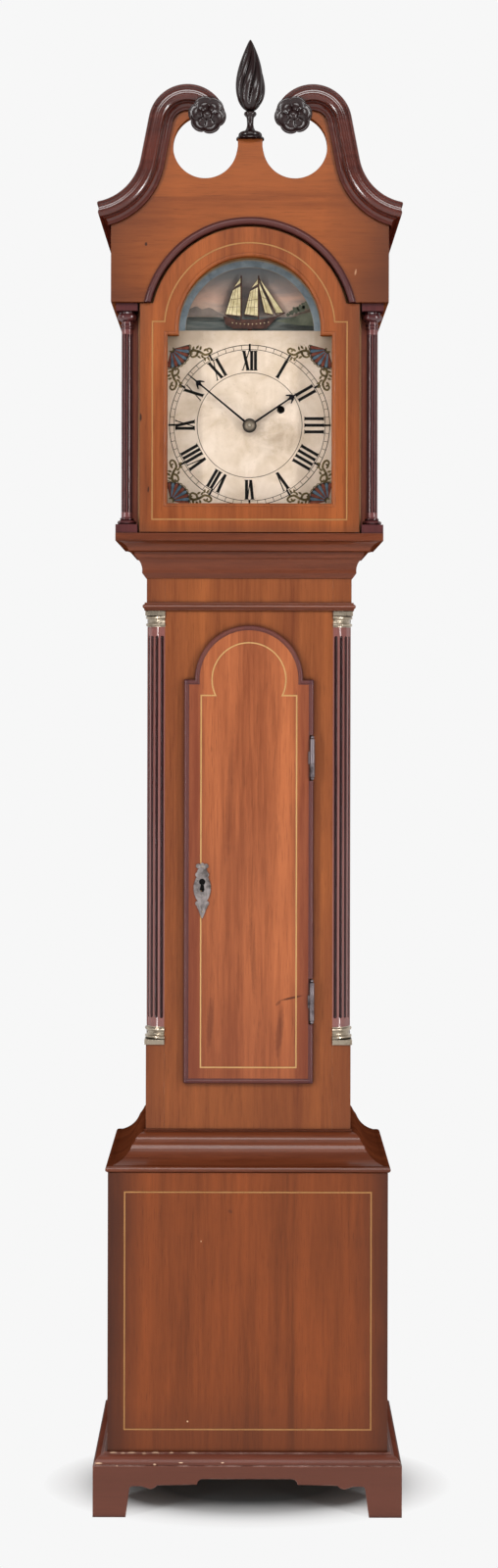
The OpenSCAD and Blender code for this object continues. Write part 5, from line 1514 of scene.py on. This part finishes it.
@dataclass
class Dial(Assembly):
    """The painted dial: its rings, minute marks, numerals and corner fans."""

    z: float = 1.2392
    outer: float = 0.0923
    track: float = 0.0872
    inner: float = 0.0605
    numeral_low: float = 0.0630
    numeral_high: float = 0.0858
    stroke: float = 0.00350
    fine: float = 0.34
    serif: float = 0.04
    mark: float = 0.00012
    fan_hub: Point = (0.0905, 0.0872)
    fan_rim: float = 0.0218
    fan_half: float = 60.0
    blades: int = 9

    FINISHES = {"dial_plate": DialFace(), "minute_hand": Alloy.BLUED,
                "hour_hand": Alloy.BLUED, "centre_arbor": Alloy.BOSS}
    # Each hour and its width in millimetres.
    WORDS = (("XII", 18.5), ("I", 5), ("II", 12), ("III", 20.5), ("IIII", 24), ("V", 9.5),
             ("VI", 12), ("VII", 18.5), ("VIII", 25), ("IX", 13), ("X", 10), ("XI", 15))
    # The scrolls, drawn along and off the dial's edge from the middle of a corner's fan.
    STEM = ((0.021, 0.004), (0.026, 0.0012), (0.033, 0.0030), (0.039, 0.0062), (0.045, 0.0042),
            (0.0465, 0.0008), (0.0435, -0.0012), (0.0412, 0.0008), (0.0428, 0.0026))
    CURL = ((0.031, 0.0020), (0.029, 0.0070), (0.0245, 0.0088), (0.0222, 0.0062), (0.0248, 0.0048))
    LEAF = ((0.0, 0.0), (0.0014, 0.0013), (0.0034, 0.0014), (0.0056, 0.0),
            (0.0034, -0.0011), (0.0014, -0.0010))
    LEAVES = ((0.0285, -0.0005, -0.9), (0.0345, 0.0062, 0.9), (0.037, 0.0022, -0.7),
              (0.0415, 0.0083, 1.0), (0.0245, 0.0012, -1.2), (0.0300, 0.0072, 0.6),
              (0.0330, 0.0012, -1.3), (0.0385, 0.0085, 1.4))

    @property
    def face(self) -> float:
        """The place of the dial's face along Y."""
        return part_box("dial_plate")[0].y

    def glyph(self, letter: str) -> tuple[float, list[list[Point]]]:
        """Draws one letter of a numeral from heavy and fine strokes.

        Args:
            letter: I, V or X.

        Returns:
            The letter's width and its outlines, from 0 up to 1 in height.
        """
        heavy, fine = self.stroke, self.stroke * self.fine
        wide = {"I": heavy + 0.0018, "V": 0.0094, "X": 0.0098}[letter]

        def slant(x0: float, x1: float, w: float) -> list[Point]:
            """Returns a stroke from x0 at the foot to x1 at the head."""
            return [(x0 - w / 2, 0), (x0 + w / 2, 0), (x1 + w / 2, 1), (x1 - w / 2, 1)]

        def bar(x0: float, x1: float, head: bool) -> list[Point]:
            """Returns a serif at the foot or the head."""
            low, high = (1 - self.serif, 1.0) if head else (0.0, self.serif)
            return [(x0, low), (x1, low), (x1, high), (x0, high)]

        if letter == "I":
            return wide, [slant(wide / 2, wide / 2, heavy), bar(0.0002, wide - 0.0002, False),
                          bar(0.0002, wide - 0.0002, True)]
        if letter == "V":
            return wide, [slant(wide / 2, heavy / 2 + 0.0006, heavy),
                          slant(wide / 2 + 0.0006, wide - 0.0012, fine),
                          bar(0, heavy + 0.0014, True), bar(wide - 0.0024, wide, True)]
        return wide, [slant(wide - heavy / 2 - 0.0006, heavy / 2 + 0.0006, heavy),
                      slant(0.0012, wide - 0.0012, fine), bar(0, heavy + 0.0014, True),
                      bar(wide - 0.0024, wide, True), bar(0, 0.0024, False),
                      bar(wide - heavy - 0.0014, wide, False)]

    def numerals(self) -> None:
        """Writes the twelve hours with their feet towards the middle."""
        sheet = Sheet(self.face)
        tall = self.numeral_high - self.numeral_low
        for hour, (word, reach) in enumerate(self.WORDS):
            letters = [self.glyph(letter) for letter in word]
            drawn = sum(wide for wide, _ in letters)
            gap = (reach * MM - drawn) / max(len(word) - 1, 1)
            whole = drawn + gap * (len(word) - 1)
            turn = math.radians(30 * hour)
            x = -whole / 2
            for wide, outlines in letters:
                for outline in outlines:
                    placed = []
                    for u, v in outline:
                        across, out = x + u, self.numeral_low + v * tall
                        placed.append((across * math.cos(turn) + out * math.sin(turn),
                                       self.z - across * math.sin(turn) + out * math.cos(turn)))
                    sheet.patch(placed)
                x += wide + gap
        sheet.piece("dial_numerals", self.palette(Tint.NUMERAL), "case", "dial_face")

    def rings(self) -> None:
        """Draws the rings and lays the minute and hour marks between them."""
        sheet = Sheet(self.face)
        for radius, wide in ((self.outer, 0.0009), (self.track, 0.0007), (self.inner, 0.0007)):
            sheet.ring((0, self.z), radius - wide / 2, radius + wide / 2)
        sheet.piece("dial_rings", self.palette(Tint.RING), "case", "dial_face")
        centre = (0, self.face - self.mark / 2, self.z)
        middle = (self.outer + self.track) / 2
        for name, count, length, wide, finish in (
                ("minute_marks", 60, self.outer - self.track, 0.0006, Tint.RING),
                ("hour_marks", 12, 0.0078, 0.0023, Tint.NUMERAL)):
            marks = self.repeats.radial(name, centre, count, middle, length, wide, self.mark, finish)
            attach(marks, "case")

    def fans(self) -> None:
        """Paints a striped fan in each corner, with a scroll on either side of it."""
        blades = {Tint.BLUE: Sheet(self.face), Tint.RED: Sheet(self.face)}
        gilt = Sheet(self.face, 0.00014)
        ground = Sheet(self.face, 0.00005)
        spread = self.fan_half - 2
        for sx in (-1, 1):
            for sz in (-1, 1):
                hub = (sx * self.fan_hub[0], self.z + sz * self.fan_hub[1])
                aim = math.atan2(-sz, -sx)
                ground.ring(hub, 0.0030, self.fan_rim, math.degrees(aim) - self.fan_half,
                            math.degrees(aim) + self.fan_half, 30)
                for i in range(self.blades):
                    a0, a1 = (aim + math.radians(-spread + 2 * spread * k / self.blades)
                              for k in (i, i + 0.84))
                    mid = (a0 + a1) / 2
                    outline = [(hub[0] + r * math.cos(a), hub[1] + r * math.sin(a)) for r, a in (
                        (0.0045, a0), (0.0185, a0), (0.0205, mid - 0.05), (0.0210, mid),
                        (0.0205, mid + 0.05), (0.0185, a1), (0.0045, a1))]
                    blades[Tint.BLUE if i % 2 else Tint.RED].patch(outline)
                self._gilding(gilt, hub, aim, sx, sz)
        ground.piece("corner_fan_lines", self.palette(Tint.RING), "case", "dial_face")
        blades[Tint.BLUE].piece("corner_fans_blue", self.palette(Tint.BLUE), "case", "dial_face")
        blades[Tint.RED].piece("corner_fans_red", self.palette(Tint.RED), "case", "dial_face")
        gilt.piece("corner_scrolls", self.palette(Tint.GILT), "case", "dial_face")

    def _gilding(self, gilt: Sheet, hub: Point, aim: float, sx: int, sz: int) -> None:
        """Adds the gilt lines of one corner: a scalloped rim and two leafy scrolls.

        Args:
            gilt: The sheet that they go on.
            hub: The middle of the corner's fan.
            aim: The angle that the fan faces, in radians.
            sx: The side of the dial that the corner is on, -1 or 1.
            sz: Whether the corner is low or high, -1 or 1.
        """
        rim = []
        for i in range(55):
            a = aim + math.radians(-self.fan_half + 2 * self.fan_half * i / 54)
            r = self.fan_rim + 0.0012 * abs(math.sin(math.pi * i / 6))
            rim.append((hub[0] + r * math.cos(a), hub[1] + r * math.sin(a)))
        gilt.strip(rim, lambda t: 0.0011)
        gilt.ring(hub, 0.0018, 0.0036, math.degrees(aim) - 90, math.degrees(aim) + 90, 16)
        for swap in (False, True):
            def at(u: float, v: float) -> Point:
                """Returns a point given along and off the dial's edge."""
                u, v = (v, u) if swap else (u, v)
                return (hub[0] - sx * u, hub[1] - sz * v)
            for path, wide, fall in ((self.STEM, 0.0032, 0.0014), (self.CURL, 0.0028, 0.0011)):
                gilt.strip(smooth_path([at(u, v) for u, v in path]), lambda t: wide - fall * t)
            for u, v, lean in self.LEAVES:
                gilt.patch([at(u + p * math.cos(lean) - q * math.sin(lean),
                               v + p * math.sin(lean) + q * math.cos(lean)) for p, q in self.LEAF])

    def build(self) -> None:
        """Dresses the plate and paints everything on it."""
        self.dress()
        self.rings()
        self.numerals()
        self.fans()


@dataclass
class ArchPicture(Assembly):
    """The painted arch over the dial: sea, sky, hills and the rocking ship."""

    arch_z: float = 1.347
    window: float = 0.0740
    border: float = 0.0815
    ship_z: float = 1.355
    seam: float = 0.0004
    port: float = 0.00062

    FINISHES = {"scenery_plate": EveningSky(), "ship": Tint.HULL}
    # Outlines in millimetres: X, and the height over the horizon or over ship_z.
    RIDGE = ((-78, 1), (-70, 7), (-62, 10.5), (-55, 7.5), (-46, 9), (-36, 3.5), (-28, 0.6))
    BANK = ((30, -6), (40, -3.5), (50, -2), (60, 2), (78, 6))
    CROWNS = ((48, 3.5, 3.6), (53, 6.8, 5.0), (59, 8.5, 5.6), (64.5, 12.0, 6.0), (44, 1.2, 2.6))
    SAILS = (((-10.9, 45), (-19.4, 40.4), (-28.0, 13.0), (-10.9, 11)),
             ((9.1, 44), (0.6, 39.6), (-6.0, 13.0), (9.1, 11)),
             ((-10.9, 54.3), (-17.6, 44.4), (-10.9, 48.8)),
             ((9.1, 53.3), (2.4, 43.6), (9.1, 47.6)),
             ((10.9, 48.4), (10.9, 44.6), (17.4, 14.8), (26.8, 12.9)),
             ((12.2, 52.4), (13.0, 49.8), (30.7, 14.3), (38.4, 15.1)))
    SEAMS = (((-13.6, 43.4), (-15.2, 11.6)), ((-16.4, 41.9), (-20.6, 12.2)),
             ((-18.6, 38.0), (-24.8, 12.7)), ((6.4, 42.4), (4.8, 11.6)),
             ((3.6, 41.0), (0.0, 12.2)), ((1.2, 38.0), (-3.6, 12.7)),
             ((13.2, 40.0), (20.4, 14.2)), ((-22.6, 29.4), (-11.0, 31.0)),
             ((-2.6, 28.4), (9.0, 30.2)), ((13.6, 33.0), (19.6, 30.0)),
             ((-25.4, 21.0), (-11.0, 21.4)), ((-4.4, 20.4), (9.0, 20.8)),
             ((21.4, 34.0), (31.6, 14.6)))

    @staticmethod
    def _drawn(outline: Sequence[Point], z: float) -> list[Point]:
        """Returns the places of an outline that is drawn in millimetres from a height."""
        return [(x * MM, z + rise * MM) for x, rise in outline]

    def hills(self) -> None:
        """Paints low hills on the left and a wooded shore on the right."""
        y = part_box("scenery_plate")[0].y
        far = Sheet(y)
        far.patch([*smooth_path(self._drawn(self.RIDGE, HORIZON)),
                   *self._drawn([(-28, -0.6), (-78, -0.6)], HORIZON)])
        far.piece("far_hills", self.palette(Tint.HILL), "case", "painted_scene")
        near = Sheet(y - 0.0001)
        near.patch([*smooth_path(self._drawn(self.BANK, HORIZON)),
                    *self._drawn([(78, -12), (55, -11)], HORIZON)])
        for x, rise, size in self.CROWNS:
            crown = []
            for k in range(22):
                a = 2 * math.pi * k / 22
                r = size * (0.84 + 0.16 * math.sin(5 * a + x * 0.4))
                crown.append((x + r * math.cos(a), rise + r * 0.9 * math.sin(a)))
            near.patch(self._drawn(crown, HORIZON))
        near.piece("near_shore", self.palette(Tint.SHORE), "case", "painted_scene")

    def frame(self) -> None:
        """Paints the blue border round the window in the plate."""
        sheet = Sheet(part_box("dial_plate")[0].y)
        sheet.ring((0, self.arch_z), self.window + 0.0002, self.border, 0.6, 179.4, 96)
        sheet.piece("arch_border", self.palette(Tint.BORDER), "case", "dial_face")

    def sails(self) -> None:
        """Paints the sails, their seams and the wales of the ship's hull."""
        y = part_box("ship")[0].y
        z = self.ship_z
        cloth = Sheet(y, 0.0002)
        for outline in self.SAILS:
            cloth.patch(self._drawn(outline, z))
        cloth.piece("ship_sails", self.palette(Tint.SAIL), "anchor", "painted_ship")
        lines = Sheet(y - 0.0002, 0.0001)
        for ends in self.SEAMS:
            lines.strip(self._drawn(ends, z), lambda t: self.seam)
        lines.piece("ship_seams", self.palette(Tint.HULL), "anchor", "painted_ship")
        ports = [((-20 + 4.6 * i) * MM, y, z + (1.4 + 0.09 * (i - 4) ** 2) * MM) for i in range(10)]
        made = self.repeats.heads("ship_ports", ports, self.port, 0.0002, FRONT, Tint.SAIL)
        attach(made, "anchor")

    def build(self) -> None:
        """Paints the whole arch."""
        self.dress()
        self.hills()
        self.frame()
        self.sails()


@dataclass
class Movement(Assembly):
    """The brass movement, its pendulum, its weight and the line that carries it."""

    line_x: float = 0.0202
    line_y: float = -0.013
    strand: float = 0.01675
    gut: float = 0.00075
    cheek_z: float = 1.162
    pulley_z: float = 1.112
    strand_parts: int = 24
    short_parts: int = 16
    margin: float = 0.004

    FINISHES = {
        "front_plate": Alloy.FRONT, "back_plate": Alloy.MOVEMENT,
        "plate_pillars": Alloy.MOVEMENT, "back_cock": Alloy.MOVEMENT,
        "hour_wheel": Alloy.MOVEMENT, "minute_wheel": Alloy.MOVEMENT,
        "great_wheel": Alloy.GREAT, "barrel": Alloy.GREAT, "third_wheel": Alloy.MOVEMENT,
        "escape_wheel": Alloy.MOVEMENT, "anchor": Alloy.STEEL, "pendulum_rod": Alloy.STEEL,
        "pendulum_bob": Alloy.MOVEMENT, "rating_nut": Alloy.MOVEMENT, "weight": Alloy.LEAD,
        "weight_pulley": Alloy.MOVEMENT, "gut_line": Gut()}

    def line(self) -> None:
        """Runs the gut line from the barrel down round the pulley and up to the seat."""
        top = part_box("gut_line")[1].z
        bend, cheek = self.pulley_z, self.cheek_z
        left, right = self.line_x, self.line_x + 2 * self.strand
        n, short = self.strand_parts, self.short_parts
        path = [(left, self.line_y, top - (top - bend) * i / n) for i in range(n + 1)]
        for i in range(1, n):
            a = math.pi * (1 + i / n)
            path.append((left + self.strand + self.strand * math.cos(a), self.line_y,
                         bend + self.strand * math.sin(a)))
        path += [(right, self.line_y, bend + (cheek - bend) * i / short) for i in range(short + 1)]
        made = self.repeats.tube("gut_strands", path, self.gut, 10, Gut())
        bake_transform(made)
        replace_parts(made, "gut_line")

    def build(self) -> None:
        """Dresses the movement and strings the weight."""
        self.dress()
        self.line()


@dataclass
class Studio:
    """The camera, the soft lamps and the pale floor with its painted shadow."""

    eye: Place = (0.0, -2.761, 0.9386)
    lens: float = 53.73
    rise: float = -0.0625
    roll: float = math.radians(0.126)
    pale: str = "f7f7f7"
    # The colour of the shadow painted on the floor under the clock, and the half sizes of its oval.
    shade: str = "3c4446"
    foot: Place = (0.185, 0.120, 1.0)
    ambient: float = 0.22
    strip: Place = (1.7, -1.5, 1.15)
    strip_power: float = 31.0
    bank_power: float = 71.0
    floor_half: float = 14.0

    def camera(self) -> None:
        """Sets up the camera where the photograph was taken from."""
        data = bpy.data.cameras.new("camera")
        data.sensor_fit = "VERTICAL"
        data.sensor_height = 36.0
        data.lens = self.lens
        data.shift_y = self.rise
        made = bpy.data.objects.new("camera", data)
        bpy.context.scene.collection.objects.link(made)
        made.matrix_world = (Matrix.Translation(self.eye) @ Matrix.Rotation(math.pi / 2, 4, "X")
                             @ Matrix.Rotation(self.roll, 4, "Z"))
        bpy.context.scene.camera = made

    def lamp(self, name: str, place: Sequence[float], aim: Sequence[float],
             size: tuple[float, float], power: float) -> None:
        """Hangs a soft lamp.

        Args:
            name: Its name.
            place: Where it hangs.
            aim: What it points at.
            size: Its width and height.
            power: Its power in watts.
        """
        data = bpy.data.lights.new(name, "AREA")
        data.shape = "RECTANGLE"
        data.size, data.size_y = size
        data.energy = power
        made = bpy.data.objects.new(name, data)
        bpy.context.scene.collection.objects.link(made)
        way = Vector(aim) - Vector(place)
        made.matrix_world = (Matrix.Translation(place)
                             @ way.to_track_quat("-Z", "Y").to_matrix().to_4x4())

    def room(self) -> None:
        """Makes the world: even light for the clock and a pale field behind it."""
        world = bpy.data.worlds.new("room")
        world.use_nodes = True
        bpy.context.scene.world = world
        g = Graph(world.node_tree)
        g.tree.nodes.clear()
        light = g.add("ShaderNodeBackground", {"Color": (1, 1, 1, 1), "Strength": self.ambient})
        seen = g.add("ShaderNodeBackground", {"Color": paint(self.pale), "Strength": 1.0})
        rays = g.add("ShaderNodeLightPath").outputs
        _, back, _ = g.axes(g.add("ShaderNodeTexCoord").outputs["Generated"])
        mirrored = g.sum("MULTIPLY", rays["Is Glossy Ray"], g.span(back, -0.05, 0.25))
        share = g.sum("MAXIMUM", g.sum("MAXIMUM", rays["Is Camera Ray"], mirrored),
                      rays["Is Transmission Ray"])
        mixed = g.add("ShaderNodeMixShader", {0: share, 1: light.outputs[0], 2: seen.outputs[0]})
        g.add("ShaderNodeOutputWorld", {"Surface": mixed.outputs[0]})

    def outside(self, s: Surface) -> Socket:
        """Measures how far out a place on the floor lies.

        Args:
            s: The floor's material.

        Returns:
            The distance, which is 1 at the rim of the painted shadow's oval under the clock's foot.
        """
        local = s.add("ShaderNodeMapping", {"Vector": s.place, "Scale": self.foot},
                      vector_type="TEXTURE").outputs[0]
        return s.add("ShaderNodeVectorMath", {0: local}, operation="LENGTH").outputs["Value"]

    def floor(self) -> None:
        """Lays a pale floor that keeps the clock's soft shadow, with more shadow painted under the clock.
        """
        s = Surface("studio_floor")
        mottled = s.noise(s.place, 3.0, 2.0)
        pale = s.mix(s.span(mottled, 0.3, 0.7, 0.0, 0.03), paint("fafafa"), paint("f0f0f0"))
        out = self.outside(s)
        # A shadow painted into the floor's colour under the clock.
        painted_shadow = s.span(out, 1.15, 0.55, 0.0, 0.88)
        s.done(base_color=s.mix(painted_shadow, pale, paint(self.shade)), roughness=0.9)
        glow = s.add("ShaderNodeEmission", {"Color": paint(self.pale), "Strength": 1.0})
        rays = s.add("ShaderNodeLightPath").outputs
        seen_by = s.sum("MAXIMUM", s.sum("MAXIMUM", rays["Is Camera Ray"], rays["Is Glossy Ray"]),
                        rays["Is Transmission Ray"])
        share = s.sum("MULTIPLY", seen_by, s.span(out, 0.85, 1.3))
        both = s.add("ShaderNodeMixShader", {0: share, 1: s.shader.outputs[0], 2: glow.outputs[0]})
        end = next(n for n in s.tree.nodes if n.type == "OUTPUT_MATERIAL")
        s.feed(end.inputs["Surface"], both.outputs[0])
        r = self.floor_half
        made = shaped("studio_floor", [(-r, -r, 0), (r, -r, 0), (r, r, 0), (-r, r, 0)],
                      [(0, 1, 2, 3)], s.material)

    def build(self) -> None:
        """Sets the camera, the lamps, the world and the floor."""
        bpy.context.scene.view_settings.view_transform = "Standard"
        self.camera()
        x, y, z = self.strip
        for name, place in (("left_strip", (-x, y, z)), ("right_strip", (x, y, z))):
            self.lamp(name, place, (0, -0.1, 1.0), (0.16, 2.2), self.strip_power)
        self.lamp("high_bank", (0.0, -3.6, 3.3), (0, -0.1, 0.8), (2.4, 1.0), self.bank_power)
        self.room()
        self.floor()


def main() -> None:
    """Builds the clock's looks, sub-assembly by sub-assembly."""
    logging.basicConfig(level=logging.INFO, format="%(name)s: %(message)s")
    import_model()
    Studio().build()
    palette = Palette()
    repeats = Repeats(palette)
    for part in (Case, TrunkDoor, Hood, Dial, ArchPicture, Movement):
        LOG.info("%s", part.__name__)
        part(palette, repeats).build()


if __name__ == "__main__":
    main()
